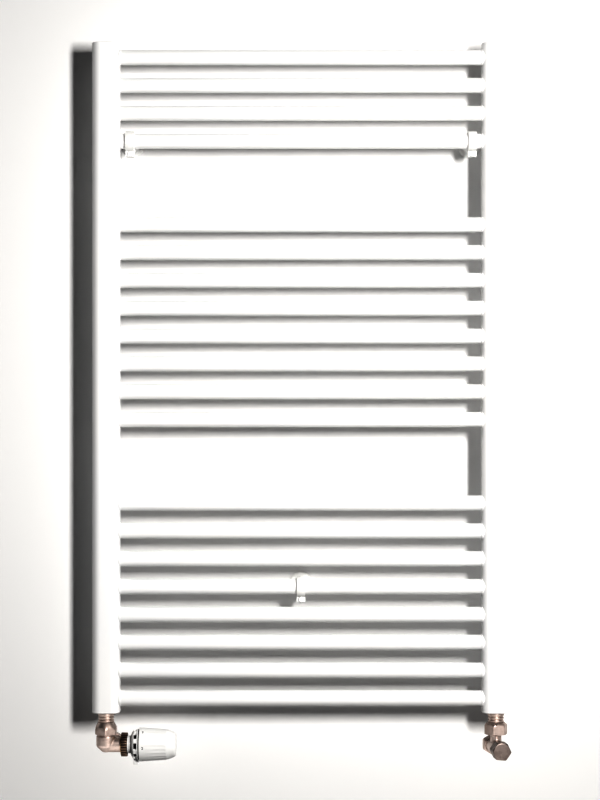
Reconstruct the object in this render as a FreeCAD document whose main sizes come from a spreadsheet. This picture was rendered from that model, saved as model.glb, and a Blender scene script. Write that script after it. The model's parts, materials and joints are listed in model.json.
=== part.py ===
import FreeCAD, Part
import math
import os
import re
import Sketcher

# A ladder towel radiator, 600 mm wide and 962 mm high, on three wall clips, with a
# thermostatic valve under its left collector and a lockshield valve under its right one.
#
# Frame: +X to the right, +Y into the wall, +Z up, millimetres. The wall is the plane
# y = 0. The origin lies midway between the two upper wall screws, behind the fourth rail.

VECTOR = FreeCAD.Vector

# Driving dimensions. Each group is a run of rows in the spreadsheet.
SIZES = {
    # collectors and rails
    "collector_spacing": 560.0,
    "collector_width": 40.0,
    "collector_depth": 30.0,
    "collector_wall": 2.0,
    "collector_front_radius": 13.0,
    "collector_back_radius": 4.0,
    "collector_top": 138.5,
    "collector_bottom": -818.0,
    "end_plate": 2.5,
    "bottom_plate": 3.0,
    "axis_depth": -65.0,
    "rail_diameter": 22.0,
    "rail_wall": 1.5,
    "rail_pitch": 40.0,
    "rail_insertion": 4.0,
    "braze_gap": 0.05,
    # threaded openings of the collectors, drawn plain at the threads' mean size
    "thread_radius": 10.0,
    "thread_gap": 0.05,
    "bush_radius": 13.0,
    "bush_height": 13.0,
    "vent_height": 118.0,
    "boss_proud": 4.0,
    "boss_inside": 6.0,
    "boss_radius": 13.5,
    # blind plug, vent plug and their small parts
    "plug_flats": 22.0,
    "plug_head": 6.0,
    "plug_thread": 11.0,
    "seal_thickness": 1.4,
    "seal_bore": 10.3,
    "seal_radius": 11.5,
    "vent_channel_radius": 1.0,
    "vent_screw_radius": 2.05,
    "vent_screw_head_radius": 3.6,
    "vent_seat_depth": 8.0,
    "vent_bore_floor": 8.2,
    "vent_screw_tip": 1.5,
    "vent_head_gap": 0.3,
    "vent_head": 2.6,
    "vent_slot_depth": 1.0,
    "outlet_radius": 8.0,
    "outlet_length": 4.5,
    "outlet_bore": 5.5,
    "outlet_gap": 0.35,
    "nose_radius": 5.42,
    "nose_length": 5.2,
    "outlet_hole": 1.0,
    "spout_radius": 1.85,
    "spout_root": 7.2,
    "spout_length": 5.0,
    # wall clips
    "clip_spread": 246.0,
    "lower_clip_drop": 640.0,
    "foot_radius": 16.0,
    "foot_thickness": 5.0,
    "foot_edge": 3.5,
    "foot_crown_radius": 13.5,
    "wall_screw_radius": 3.0,
    "sleeve_radius": 10.0,
    "sleeve_bore": 7.0,
    "sleeve_length": 34.0,
    "stem_radius": 6.93,
    "stem_back": 12.0,
    "clip_width": 12.5,
    "saddle_back": 49.0,
    "saddle_front": 60.0,
    "saddle_top": 6.0,
    "saddle_bottom": -22.0,
    "saddle_radius": 11.15,
    "strap_thickness": 3.2,
    "strap_tab_back": 62.0,
    "strap_start_angle": 35.0,
    "strap_end_angle": 245.0,
    "strap_hole_radius": 2.2,
    "clip_screw_radius": 2.0,
    "clip_screw_height": -18.3,
    "clip_screw_tip": 51.0,
    "clip_screw_floor": 50.5,
    "screw_head_radius": 3.8,
    "screw_crown_radius": 2.8,
    "screw_head": 2.4,
    "screw_head_edge": 1.6,
    "screw_recess_radius": 1.2,
    "screw_recess_floor": 0.8,
    "set_screw_radius": 2.0,
    "set_screw_place": 28.0,
    "set_screw_end": 9.7,
    "set_screw_socket_radius": 1.0,
    "set_screw_socket_floor": 8.4,
    # valve tails and union nuts
    "tail_bore": 7.0,
    "tail_thread": 11.0,
    "tail_collar_radius": 11.7,
    "tail_collar": 4.0,
    "tail_ring_radius": 11.2,
    "tail_ring_count": 2,
    "tail_ring_pitch": 4.4,
    "tail_groove_radius": 10.3,
    "tail_groove": 2.0,
    "tail_groove_slope": 0.6,
    "tail_neck_radius": 9.8,
    "tail_flange_radius": 12.4,
    "tail_seal_radius": 10.9,
    "tail_flange_start": 23.0,
    "tail_flange_edge": 26.0,
    "tail_visible": 13.0,
    "tail_length": 27.0,
    "union_flats": 30.0,
    "union_top": -13.5,
    "union_bottom": -31.0,
    "union_lip_radius": 9.95,
    "union_bore_radius": 12.6,
    "union_lip": 9.3,
    "union_crown_left": 11.6,
    "union_cone_left": 13.0,
    "union_crown_right": 12.5,
    "union_cone_right": 5.0,
    "union_turn": 44.0,
    # thermostatic valve body, measured from where its axes cross
    "left_axis_height": -867.0,
    "barrel_radius": 14.0,
    "barrel_top": 13.0,
    "barrel_cone": -2.0,
    "body_bottom": -10.9,
    "cone_foot_radius": 5.5,
    "spigot_radius": 12.5,
    "spigot_top": 19.0,
    "branch_radius": 10.9,
    "branch_length": 21.5,
    "pipe_branch_shift": 10.4,
    "pipe_branch_length": 17.3,
    "pipe_thread_radius": 10.0,
    "pipe_thread_length": 24.0,
    "pipe_socket_start": 10.0,
    "pipe_radius": 7.55,
    "water_radius": 5.0,
    "water_shift": 3.0,
    "seat_radius": 5.0,
    "seat_place": 5.0,
    "seat_passage": 7.0,
    "chamber_radius": 8.0,
    # valve insert, stem, disc and spring, measured along the head's axis
    "insert_nose": 16.0,
    "insert_nose_radius": 7.95,
    "insert_flange": 21.5,
    "insert_flange_radius": 14.8,
    "insert_end": 28.5,
    "insert_cavity_radius": 6.2,
    "insert_cavity_start": 17.4,
    "insert_cavity_end": 27.0,
    "pin_radius": 2.4,
    "pin_gap": 0.08,
    "pin_end": 39.9,
    "disc_face": 6.8,
    "disc_thickness": 2.6,
    "disc_radius": 6.6,
    "disc_chamfer": 0.6,
    "stem_boss_radius": 5.4,
    "stem_boss": 1.2,
    "pin_collar": 24.0,
    "pin_collar_thickness": 0.8,
    "pin_collar_radius": 4.4,
    "spring_radius": 3.9,
    "spring_wire": 0.35,
    "spring_start": 17.9,
    "spring_height": 5.7,
    "spring_turns": 4.0,
    # thermostatic head
    "ring_start": 21.8,
    "ring_end": 31.0,
    "ring_radius": 17.0,
    "ring_lip_radius": 12.6,
    "ring_thread_radius": 14.85,
    "ring_thread_end": 29.9,
    "neck_start": 28.7,
    "neck_end": 34.3,
    "neck_radius": 12.2,
    "neck_flange_end": 29.7,
    "neck_flange_radius": 14.5,
    "rim_radius": 15.4,
    "rim_end": 35.3,
    "skirt_end": 46.5,
    "skirt_band": 4.0,
    "skirt_lip": 3.0,
    "skirt_radius": 22.4,
    "skirt_step_radius": 17.0,
    "skirt_wall": 2.2,
    "base_pin_hole": 3.4,
    "base_bore": 11.2,
    "base_floor": 37.3,
    "guide_start": 38.3,
    "guide_end": 66.0,
    "guide_radius": 14.0,
    "slot_count": 8,
    "slot_width": 4.2,
    "slot_start": 39.0,
    "slot_end": 44.5,
    "slot_floor_radius": 18.0,
    "slot_reach": 8.0,
    "tab_length": 7.0,
    "tab_width": 9.0,
    "tab_root": 20.9,
    "tab_reach": 28.0,
    "capsule_start": 40.0,
    "capsule_chamfer": 3.0,
    "capsule_radius": 10.9,
    "capsule_end": 90.0,
    "capsule_cap_radius": 12.6,
    "capsule_cap": 68.5,
    "handle_start": 48.0,
    "handle_mouth_radius": 24.2,
    "handle_waist": 87.0,
    "handle_waist_radius": 21.8,
    "handle_shoulder": 99.0,
    "handle_shoulder_radius": 17.4,
    "handle_end": 101.0,
    "handle_end_radius": 15.4,
    "handle_wall": 2.0,
    # lockshield valve, measured from where its axes cross
    "right_axis_height": -871.0,
    "lockshield_swing": 7.0,
    "stalk_radius": 8.0,
    "stalk_end": 18.5,
    "stalk_flare_end": 19.5,
    "barrel_front": 20.0,
    "lock_barrel_radius": 11.0,
    "lock_thread_radius": 9.8,
    "lock_thread_end": 30.0,
    "lock_chamber_radius": 6.6,
    "spindle_radius": 5.0,
    "spindle_gap": 0.06,
    "spindle_flange_radius": 6.2,
    "spindle_start": 14.0,
    "spindle_flange_end": 17.0,
    "spindle_end": 34.0,
    "spindle_socket": 5.0,
    "spindle_socket_depth": 6.0,
    "spindle_nose_radius": 2.3,
    "spindle_nose": 3.0,
    "gland_start": 17.3,
    "lock_seat_radius": 5.0,
    "lock_seat_place": 6.0,
    "lock_cone_tip": -7.0,
    "lock_cone_back": 9.5,
    "lock_cone_radius": 6.0,
    "lock_cone_tip_radius": 3.4,
    "lock_cone_waist": -2.0,
    "lock_cone_waist_radius": 4.2,
    "lock_cone_shoulder": 2.0,
    "lock_cone_bore": 2.6,
    "lock_cone_floor": -2.5,
    "cap_flats": 24.0,
    "cap_turn": 25.0,
    "cap_start": 20.4,
    "cap_end": 42.0,
    "cap_bore": 10.15,
    "cap_floor": 36.5,
    # compression nuts and olives
    "nut_flats": 25.0,
    "nut_start": 17.6,
    "nut_end": 33.0,
    "nut_bore": 10.1,
    "nut_lip": 28.5,
    "olive_start": 24.1,
    "olive_end": 28.4,
    "olive_radius": 9.4,
    "olive_edge_radius": 8.4,
    # corner breaks, and how far a cut runs past the face it opens
    "corner_break": 1.0,
    "hex_break": 0.2,
    "hex_break_drop": 2.4,
    "hex_beyond": 4.0,
    "overcut": 1.0,
}

# Rails in steps of the pitch above the upper clips: the first step and the count of each group.
RAIL_GROUPS = ((3, 4), (-3, 8), (-13, 8))

doc = FreeCAD.newDocument("towel_radiator")
sheet = doc.addObject("Spreadsheet::Sheet", "dim")
pieces = []


def fill_sheet():
    for row, (name, value) in enumerate(SIZES.items(), start=1):
        sheet.set(f"A{row}", name.replace("_", " "))
        sheet.set(f"B{row}", str(value))
        sheet.setAlias(f"B{row}", name)
    doc.recompute()


def size(name):
    return float(sheet.get(name))


def linked(expression):
    """The expression with each size's name pointed at its cell of the sheet."""
    def point(word):
        return "dim." + word.group() if word.group() in SIZES else word.group()

    return re.sub(r"[a-z][a-z0-9_]*", point, str(expression))


def bind(thing, path, expression):
    thing.setExpression(path, linked(expression))


def place(thing, where, turn=(0, 0, 1), angle=0):
    """Put a piece at an (x, y, z) of expressions, turned about an axis."""
    thing.Placement.Rotation = FreeCAD.Rotation(VECTOR(*turn), angle)
    for axis, expression in zip("xyz", where):
        bind(thing, f"Placement.Base.{axis}", expression)


# The turns that send a piece's own +Z along another axis of the frame.
ALONG_X = ((0, 1, 0), 90)
ALONG_BACK = ((1, 0, 0), -90)
ALONG_FRONT = ((1, 0, 0), 90)


def new_body(label, kept=True):
    body = doc.addObject("PartDesign::Body", label)
    body.Label = label
    if kept:
        pieces.append(body)
    return body


# A plane's normal, as a sign along the body's own axis that is square to the plane.
NORMAL = {"XY_Plane": 1, "YZ_Plane": 1, "XZ_Plane": -1}


def new_sketch(body, role, start="0"):
    """A sketch on one of the body's origin planes, moved to a start along the axis square to it."""
    sketch = body.newObject("Sketcher::SketchObject", body.Name + "_sketch")
    plane = next(feature for feature in body.Origin.OriginFeatures if feature.Role == role)
    sketch.AttachmentSupport = (plane, [""])
    sketch.MapMode = "FlatFace"
    bind(sketch, "AttachmentOffset.Base.z", f"{NORMAL[role]} * ({start})")
    return sketch


def fix_point(sketch, geometry, point, x, y):
    """Hold a point of the sketch at two expressions from the sketch's origin."""
    at = sketch.getPoint(geometry, point)
    for kind, start, expression in (("DistanceX", at.x, x), ("DistanceY", at.y, y)):
        index = sketch.addConstraint(Sketcher.Constraint(kind, -1, 1, geometry, point, start))
        bind(sketch, f"Constraints[{index}]", expression)


def draw_outline(sketch, points):
    """A closed outline of straight lines through points given as expressions."""
    first = sketch.GeometryCount
    count = len(points)
    start = [VECTOR(math.cos(k * math.tau / count), math.sin(k * math.tau / count)) for k in range(count)]
    for k in range(count):
        sketch.addGeometry(Part.LineSegment(start[k], start[(k + 1) % count]), False)
    for k in range(count):
        following = first + (k + 1) % count
        sketch.addConstraint(Sketcher.Constraint("Coincident", first + k, 2, following, 1))
    for k, (x, y) in enumerate(points):
        fix_point(sketch, first + k, 1, x, y)


def draw_circle(sketch, radius, x="0", y="0"):
    circle = sketch.addGeometry(Part.Circle(VECTOR(1, 1), VECTOR(0, 0, 1), 1.0), False)
    fix_point(sketch, circle, 3, x, y)
    index = sketch.addConstraint(Sketcher.Constraint("Radius", circle, 1.0))
    bind(sketch, f"Constraints[{index}]", radius)


def rectangle(x_low, x_high, y_low, y_high):
    return ((x_low, y_low), (x_high, y_low), (x_high, y_high), (x_low, y_high))


def hexagon(flats, turn="0"):
    """Corners of a hexagon, one of them turned by some degrees from the sketch's vertical axis."""
    reach = f"({flats}) / sqrt(3)"
    angles = [f"(({60 * k + 90} + {turn}) * 1 deg)" for k in range(6)]
    return [(f"{reach} * cos{angle}", f"{reach} * sin{angle}") for angle in angles]


def extrude(body, sketch, length, towards=1, cut=False):
    """Push a sketch out, or cut with it, towards the plus or the minus end of the axis square to it."""
    kind = "PartDesign::Pocket" if cut else "PartDesign::Pad"
    plane = sketch.AttachmentSupport[0][0]
    along_normal = towards * NORMAL[plane.Role] > 0
    feature = body.newObject(kind, body.Name + ("_pocket" if cut else "_pad"))
    feature.Profile = (sketch, [""])
    feature.Reversed = along_normal if cut else not along_normal
    bind(feature, "Length", length)
    doc.recompute()
    return feature


def revolve(body, outlines, cut=False, plane="XZ_Plane", axis="V_Axis"):
    """Turn outlines about an axis of their sketch, to add material or to cut it away."""
    sketch = new_sketch(body, plane)
    for outline in outlines:
        draw_outline(sketch, outline)
    kind = "PartDesign::Groove" if cut else "PartDesign::Revolution"
    feature = body.newObject(kind, body.Name + ("_groove" if cut else "_turned"))
    feature.Profile = (sketch, [""])
    feature.ReferenceAxis = (sketch, [axis])
    feature.Angle = 360
    doc.recompute()
    return feature


def turned(label, outline, kept=True):
    """A piece turned about its own +Z from an outline of (radius, height)."""
    body = new_body(label, kept)
    revolve(body, [outline])
    return body


def round_bar(body, plane, radius, length, x="0", y="0", start="0", towards=1, cut=False):
    """A round boss, or a drilled hole, square to an origin plane of the body."""
    sketch = new_sketch(body, plane, start)
    draw_circle(sketch, radius, x, y)
    extrude(body, sketch, length, towards, cut)


def hex_turned(label, flats, low, high, cuts, turn="0", kept=True):
    """A hexagonal bar along +Z, then turned inside and at its corners."""
    body = new_body(label, kept)
    sketch = new_sketch(body, "XY_Plane", low)
    draw_outline(sketch, hexagon(flats, turn))
    extrude(body, sketch, f"({high}) - ({low})")
    revolve(body, cuts, cut=True)
    return body


def corner_cut(flats, height, inward):
    """The triangle that breaks a hexagon's corners at one end; inward is the way into the bar."""
    return (
        (f"({flats}) / 2 - hex_break", height),
        (f"({flats}) / 2 + hex_beyond", height),
        (f"({flats}) / 2 + hex_beyond", f"({height}) + ({inward}) * hex_break_drop"),
    )


def soften(body, radius, chosen):
    """Round the edges of the body's last feature whose middle passes a test."""
    base = body.Tip
    names = [f"Edge{k}" for k, edge in enumerate(base.Shape.Edges, start=1) if chosen(edge)]
    fillet = body.newObject("PartDesign::Fillet", body.Name + "_fillet")
    fillet.Base = (base, names)
    bind(fillet, "Radius", radius)
    doc.recompute()


def group(label, members):
    """Identical pieces that share one node, each a solid of its own."""
    compound = doc.addObject("Part::Compound", label)
    compound.Label = label
    compound.Links = members
    pieces.append(compound)
    return compound


def middle(edge):
    return edge.CenterOfMass


def rail_steps():
    return [first - k for first, count in RAIL_GROUPS for k in range(count)]


def draw_section(sketch, inset):
    """The collector's outline, drawn in by an inset: wide round corners in front, small ones behind."""
    step = size(inset) if inset in SIZES else 0.0
    half = size("collector_width") / 2 - step
    deep = size("collector_depth") / 2 - step
    front = size("collector_front_radius") - step
    back = size("collector_back_radius") - step
    across = f"(collector_width / 2 - {inset})"
    along = f"(collector_depth / 2 - {inset})"
    corners = []
    for radius, name, x_side, y_side in (
        (front, "collector_front_radius", 1, -1), (back, "collector_back_radius", 1, 1),
        (back, "collector_back_radius", -1, 1), (front, "collector_front_radius", -1, -1),
    ):
        beside = (x_side * half, y_side * (deep - radius),
                  f"{x_side} * {across}", f"{y_side} * ({along} - ({name} - {inset}))")
        below = (x_side * (half - radius), y_side * deep,
                 f"{x_side} * ({across} - ({name} - {inset}))", f"{y_side} * {along}")
        ends = (below, beside) if x_side * y_side < 0 else (beside, below)
        slant = radius * math.sqrt(0.5)
        centre = (x_side * (half - radius), y_side * (deep - radius))
        middle_point = VECTOR(centre[0] + x_side * slant, centre[1] + y_side * slant)
        corners.append((ends, middle_point, f"{name} - {inset}"))
    for k, (ends, middle_point, radius) in enumerate(corners):
        start, end = ends
        arc = sketch.addGeometry(Part.Arc(VECTOR(*start[:2]), middle_point, VECTOR(*end[:2])), False)
        following = corners[(k + 1) % len(corners)][0][0]
        line = sketch.addGeometry(Part.LineSegment(VECTOR(*end[:2]), VECTOR(*following[:2])), False)
        sketch.addConstraint(Sketcher.Constraint("Coincident", arc, 2, line, 1))
        fix_point(sketch, line, 1, *end[2:])
        fix_point(sketch, line, 2, *following[2:])
        index = sketch.addConstraint(Sketcher.Constraint("Radius", arc, sketch.Geometry[arc].Radius))
        bind(sketch, f"Constraints[{index}]", radius)
    for k in range(len(corners)):
        line_before = 2 * ((k - 1) % len(corners)) + 1
        sketch.addConstraint(Sketcher.Constraint("Coincident", line_before, 2, 2 * k, 1))


def collector_bar(body, inset, low, length, cut=False):
    """The collector's section, as a bar or as its hollow."""
    sketch = new_sketch(body, "XY_Plane", low)
    draw_section(sketch, inset)
    extrude(body, sketch, length, cut=cut)


def make_collector(label, side):
    """side is -1 for the left collector and 1 for the right one."""
    body = new_body(label)
    collector_bar(body, "0", "0", "collector_top - collector_bottom")
    collector_bar(body, "collector_wall", "0", "collector_top - collector_bottom", cut=True)
    holes = new_sketch(body, "YZ_Plane")
    for step in rail_steps():
        draw_circle(holes, "rail_diameter / 2 + braze_gap", "0", f"{step} * rail_pitch - collector_bottom")
    extrude(body, holes, "collector_width", towards=-side, cut=True)
    round_bar(body, "XZ_Plane", "boss_radius + braze_gap", "collector_depth",
              y="vent_height - collector_bottom", cut=True)
    place(body, (f"{side} * collector_spacing / 2", "axis_depth", "collector_bottom"))


def make_rail(number, step):
    body = new_body(f"rail_{number:02d}")
    ring = new_sketch(body, "YZ_Plane")
    draw_circle(ring, "rail_diameter / 2")
    draw_circle(ring, "rail_diameter / 2 - rail_wall")
    half = "(collector_spacing / 2 - collector_width / 2 + rail_insertion)"
    extrude(body, ring, f"2 * {half}")
    place(body, (f"-{half}", "axis_depth", f"{step} * rail_pitch"))


def make_end_cap(side):
    body = new_body(f"end_cap_{side}", kept=False)
    collector_bar(body, "0", "0", "end_plate")
    soften(body, "corner_break", lambda edge: middle(edge).z > size("end_plate") / 2 + size("corner_break"))
    place(body, (f"{side} * collector_spacing / 2", "axis_depth", "collector_top"))
    return body


def make_bottom_bush(side):
    """The collector's bottom plate and threaded bush, one forging."""
    body = new_body(f"bottom_bush_{side}", kept=False)
    collector_bar(body, "0", "0", "bottom_plate")
    round_bar(body, "XY_Plane", "bush_radius", "bush_height - bottom_plate", start="bottom_plate")
    round_bar(body, "XY_Plane", "thread_radius + thread_gap", "bush_height + 2 * overcut",
              start="-overcut", cut=True)
    place(body, tail_place(side))
    return body


def make_rear_boss(side):
    """A threaded boss brazed into the collector's back, its own +Z towards the wall."""
    outline = (
        ("thread_radius + thread_gap", "-boss_inside"),
        ("boss_radius", "-boss_inside"),
        ("boss_radius", "boss_proud"),
        ("thread_radius + thread_gap", "boss_proud"),
    )
    body = turned(f"rear_boss_{side}", outline, kept=False)
    back_face = "axis_depth + collector_depth / 2"
    place(body, (f"{side} * collector_spacing / 2", back_face, "vent_height"), *ALONG_BACK)
    return body


def plug_seat(side):
    """Where a plug's head meets its seal, on the rear boss."""
    return (f"{side} * collector_spacing / 2",
            "axis_depth + collector_depth / 2 + boss_proud + seal_thickness", "vent_height")


def make_plug_seal(side):
    outline = (
        ("seal_bore", "-seal_thickness"),
        ("seal_radius", "-seal_thickness"),
        ("seal_radius", "0"),
        ("seal_bore", "0"),
    )
    body = turned(f"plug_seal_{side}", outline, kept=False)
    place(body, plug_seat(side), *ALONG_BACK)
    return body


def make_plug(label, side, vented):
    """A hexagon-headed plug; the vented one is drilled, and has a nose for its outlet ring."""
    body = new_body(label)
    head = new_sketch(body, "XY_Plane")
    draw_outline(head, hexagon("plug_flats"))
    extrude(body, head, "plug_head")
    round_bar(body, "XY_Plane", "thread_radius", "plug_thread", towards=-1)
    revolve(body, [corner_cut("plug_flats", "plug_head", -1)], cut=True)
    if vented:
        round_bar(body, "XY_Plane", "nose_radius", "nose_length", start="plug_head")
        round_bar(body, "XY_Plane", "vent_screw_radius + pin_gap", "nose_length + vent_bore_floor",
                  start="plug_head + nose_length", towards=-1, cut=True)
        round_bar(body, "XY_Plane", "vent_channel_radius", "2 * plug_thread", towards=-1, cut=True)
    place(body, plug_seat(side), *ALONG_BACK)


def make_vent_screw():
    """The slotted bleed screw, whose tip closes the vent plug's channel."""
    head_low = "nose_length + vent_head_gap"
    head_high = "nose_length + vent_head_gap + vent_head"
    outline = (
        ("0", "-vent_seat_depth"),
        ("vent_screw_radius", "vent_screw_tip - vent_seat_depth"),
        ("vent_screw_radius", head_low),
        ("vent_screw_head_radius", head_low),
        ("vent_screw_head_radius", head_high),
        ("0", head_high),
    )
    body = turned("vent_screw", outline)
    slot = new_sketch(body, "XY_Plane", f"{head_high} - vent_slot_depth")
    draw_outline(slot, rectangle("-vent_screw_head_radius - overcut", "vent_screw_head_radius + overcut",
                                 "-vent_slot_depth / 2", "vent_slot_depth / 2"))
    extrude(body, slot, "vent_slot_depth + overcut", cut=True)
    x, y, z = plug_seat(1)
    place(body, (x, f"{y} + plug_head", z), *ALONG_BACK)


def make_vent_outlet():
    """The swivelling ring on the vent plug's nose, with the spout that aims the water."""
    body = new_body("vent_outlet")
    revolve(body, [rectangle("outlet_bore", "outlet_radius", "0", "outlet_length")])
    round_bar(body, "XZ_Plane", "spout_radius", "spout_length", y="outlet_length / 2", start="spout_root")
    round_bar(body, "XZ_Plane", "outlet_hole", "2 * outlet_radius", y="outlet_length / 2", cut=True)
    x, y, z = plug_seat(1)
    place(body, (x, f"{y} + plug_head + outlet_gap", z), *ALONG_BACK)


def clip_places():
    """Each wall clip's name and the (x, z) of its wall screw."""
    return (
        ("upper_left", "-clip_spread", "0"),
        ("upper_right", "clip_spread", "0"),
        ("lower", "0", "-lower_clip_drop"),
    )


def make_wall_base(name, x, z):
    """The foot on the wall and the sleeve that the stem slides in, its own +Z away from the wall."""
    outline = (
        ("wall_screw_radius", "0"),
        ("foot_radius", "0"),
        ("foot_radius", "foot_edge"),
        ("foot_crown_radius", "foot_thickness"),
        ("sleeve_radius", "foot_thickness"),
        ("sleeve_radius", "sleeve_length"),
        ("sleeve_bore", "sleeve_length"),
        ("sleeve_bore", "foot_thickness"),
        ("wall_screw_radius", "foot_thickness"),
    )
    body = turned(f"wall_base_{name}", outline)
    round_bar(body, "XZ_Plane", "set_screw_radius + pin_gap", "sleeve_radius + overcut",
              y="set_screw_place", towards=-1, cut=True)
    place(body, (x, "0", z), *ALONG_FRONT)


def make_clip_stem(name, x, z):
    """The stem and the saddle behind the rail. Its own +Z leaves the wall and its +Y points up."""
    body = new_body(f"clip_stem_{name}")
    saddle = new_sketch(body, "XY_Plane", "saddle_back")
    draw_outline(saddle, rectangle("-clip_width / 2", "clip_width / 2", "saddle_bottom", "saddle_top"))
    extrude(body, saddle, "saddle_front - saddle_back")
    round_bar(body, "XY_Plane", "stem_radius", "saddle_back - stem_back", start="stem_back")
    round_bar(body, "YZ_Plane", "saddle_radius", "clip_width + 2 * overcut", y="-axis_depth",
              start="-clip_width / 2 - overcut", cut=True)
    round_bar(body, "XY_Plane", "clip_screw_radius + braze_gap", "saddle_front - saddle_back",
              y="clip_screw_height", start="clip_screw_floor", cut=True)
    place(body, (x, "0", z), *ALONG_FRONT)


def strap_profile():
    """The strap's side view: over the rail from behind, round its front and down to the tab."""
    inner = size("saddle_radius")
    outer = inner + size("strap_thickness")
    centre = VECTOR(0, size("axis_depth"), 0)
    start_angle = math.radians(size("strap_start_angle"))
    end_angle = math.radians(size("strap_end_angle"))

    def at(radius, angle):
        return centre + VECTOR(0, radius * math.cos(angle), radius * math.sin(angle))

    mid_angle = (start_angle + end_angle) / 2
    tab_back = -size("strap_tab_back")
    tab_front = tab_back - size("strap_thickness")
    bottom = size("saddle_bottom")
    outer_end = VECTOR(0, tab_front, centre.z - math.sqrt(outer ** 2 - (tab_front - centre.y) ** 2))
    inner_end = VECTOR(0, tab_back, centre.z - math.sqrt(inner ** 2 - (tab_back - centre.y) ** 2))
    edges = [
        Part.Arc(at(outer, start_angle), at(outer, mid_angle), outer_end).toShape(),
        Part.LineSegment(outer_end, VECTOR(0, tab_front, bottom)).toShape(),
        Part.LineSegment(VECTOR(0, tab_front, bottom), VECTOR(0, tab_back, bottom)).toShape(),
        Part.LineSegment(VECTOR(0, tab_back, bottom), inner_end).toShape(),
        Part.Arc(inner_end, at(inner, mid_angle), at(inner, start_angle)).toShape(),
        Part.LineSegment(at(inner, start_angle), at(outer, start_angle)).toShape(),
    ]
    return Part.Wire(edges)


def make_clip_front(name, x, z):
    """The strap that hooks over the rail, pushed out from its side view and drilled for its screw."""
    width = size("clip_width")
    strap = Part.Face(strap_profile()).extrude(VECTOR(width, 0, 0))
    strap.translate(VECTOR(-width / 2, 0, 0))
    reach = 2 * size("strap_thickness")
    drill_start = VECTOR(0, -size("strap_tab_back") - reach, size("clip_screw_height"))
    hole = Part.makeCylinder(size("strap_hole_radius"), 2 * reach, drill_start, VECTOR(0, 1, 0))
    feature = doc.addObject("Part::Feature", f"clip_front_{name}")
    feature.Shape = strap.cut(hole)
    feature.Label = f"clip_front_{name}"
    place(feature, (x, "0", z))
    pieces.append(feature)


def make_clip_screw(name, x, z):
    """A pan-head screw, its own +Z away from the wall."""
    face = "strap_tab_back + strap_thickness"
    outline = (
        ("0", "clip_screw_tip"),
        ("clip_screw_radius", "clip_screw_tip"),
        ("clip_screw_radius", face),
        ("screw_head_radius", face),
        ("screw_head_radius", f"{face} + screw_head_edge"),
        ("screw_crown_radius", f"{face} + screw_head"),
        ("screw_recess_radius", f"{face} + screw_head"),
        ("screw_recess_radius", f"{face} + screw_recess_floor"),
        ("0", f"{face} + screw_recess_floor"),
    )
    body = turned(f"clip_screw_{name}", outline, kept=False)
    place(body, (x, "0", f"{z} + clip_screw_height"), *ALONG_FRONT)
    return body


def make_set_screw(name, x, z):
    """The headless screw that locks the stem in its sleeve, its own +Z down."""
    outline = (
        ("0", "stem_radius"),
        ("set_screw_radius", "stem_radius"),
        ("set_screw_radius", "set_screw_end"),
        ("set_screw_socket_radius", "set_screw_end"),
        ("set_screw_socket_radius", "set_screw_socket_floor"),
        ("0", "set_screw_socket_floor"),
    )
    body = turned(f"set_screw_{name}", outline, kept=False)
    place(body, (x, "-set_screw_place", z), (1, 0, 0), 180)
    return body


def tail_place(side):
    """The middle of a collector's bottom face."""
    return (f"{side} * collector_spacing / 2", "axis_depth", "collector_bottom - bottom_plate")


def make_tail(side):
    """The tail screwed into the collector, its own z = 0 at the collector's bottom face."""
    rings = []
    for k in range(int(size("tail_ring_count"))):
        start = f"-tail_collar - {k} * tail_ring_pitch"
        rings += [
            ("tail_groove_radius", f"{start} - tail_groove_slope"),
            ("tail_groove_radius", f"{start} - tail_groove + tail_groove_slope"),
            ("tail_ring_radius", f"{start} - tail_groove"),
            ("tail_ring_radius", f"{start} - tail_ring_pitch"),
        ]
    outline = (
        ("tail_bore", "tail_thread"),
        ("thread_radius", "tail_thread"),
        ("thread_radius", "0"),
        ("tail_collar_radius", "0"),
        ("tail_collar_radius", "-tail_collar"),
        *rings,
        ("tail_neck_radius", "-tail_visible"),
        ("tail_neck_radius", "-tail_flange_start"),
        ("tail_flange_radius", "-tail_flange_start"),
        ("tail_flange_radius", "-tail_flange_edge"),
        ("tail_seal_radius", "-tail_length"),
        ("tail_bore", "-tail_length"),
    )
    body = turned(f"tail_{side}", outline, kept=False)
    place(body, tail_place(side))
    return body


def make_union_nut(side, name, turn):
    """The nut that clamps a valve to its tail: a hexagon with a cone on top."""
    cuts = [
        (("0", "union_top + overcut"), ("union_lip_radius", "union_top + overcut"),
         ("union_lip_radius", "union_top - union_lip"), ("union_bore_radius", "union_top - union_lip"),
         ("union_bore_radius", "union_bottom - overcut"), ("0", "union_bottom - overcut")),
        ((f"union_crown_{name}", "union_top"), ("union_flats / 2 + hex_beyond", "union_top"),
         ("union_flats / 2 + hex_beyond", f"union_top - union_cone_{name}")),
        corner_cut("union_flats", "union_bottom", 1),
    ]
    body = hex_turned(f"union_nut_{side}", "union_flats", "union_bottom", "union_top", cuts, kept=False)
    place(body, tail_place(side), (0, 0, 1), turn)
    return body


def left_valve_place(along="0", across="0"):
    """A point of the thermostatic valve, along the head's axis and across towards the wall."""
    return (f"-collector_spacing / 2 + {along}", f"axis_depth + {across}", "left_axis_height")


def pipe_socket(body, shift):
    """The threaded branch towards the wall, with its socket for a 15 mm pipe."""
    round_bar(body, "XZ_Plane", "branch_radius", "pipe_branch_length", x=shift)
    round_bar(body, "XZ_Plane", "pipe_thread_radius", "pipe_thread_length", x=shift)
    round_bar(body, "XZ_Plane", "pipe_radius", "pipe_thread_length", x=shift,
              start="pipe_socket_start", cut=True)


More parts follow.
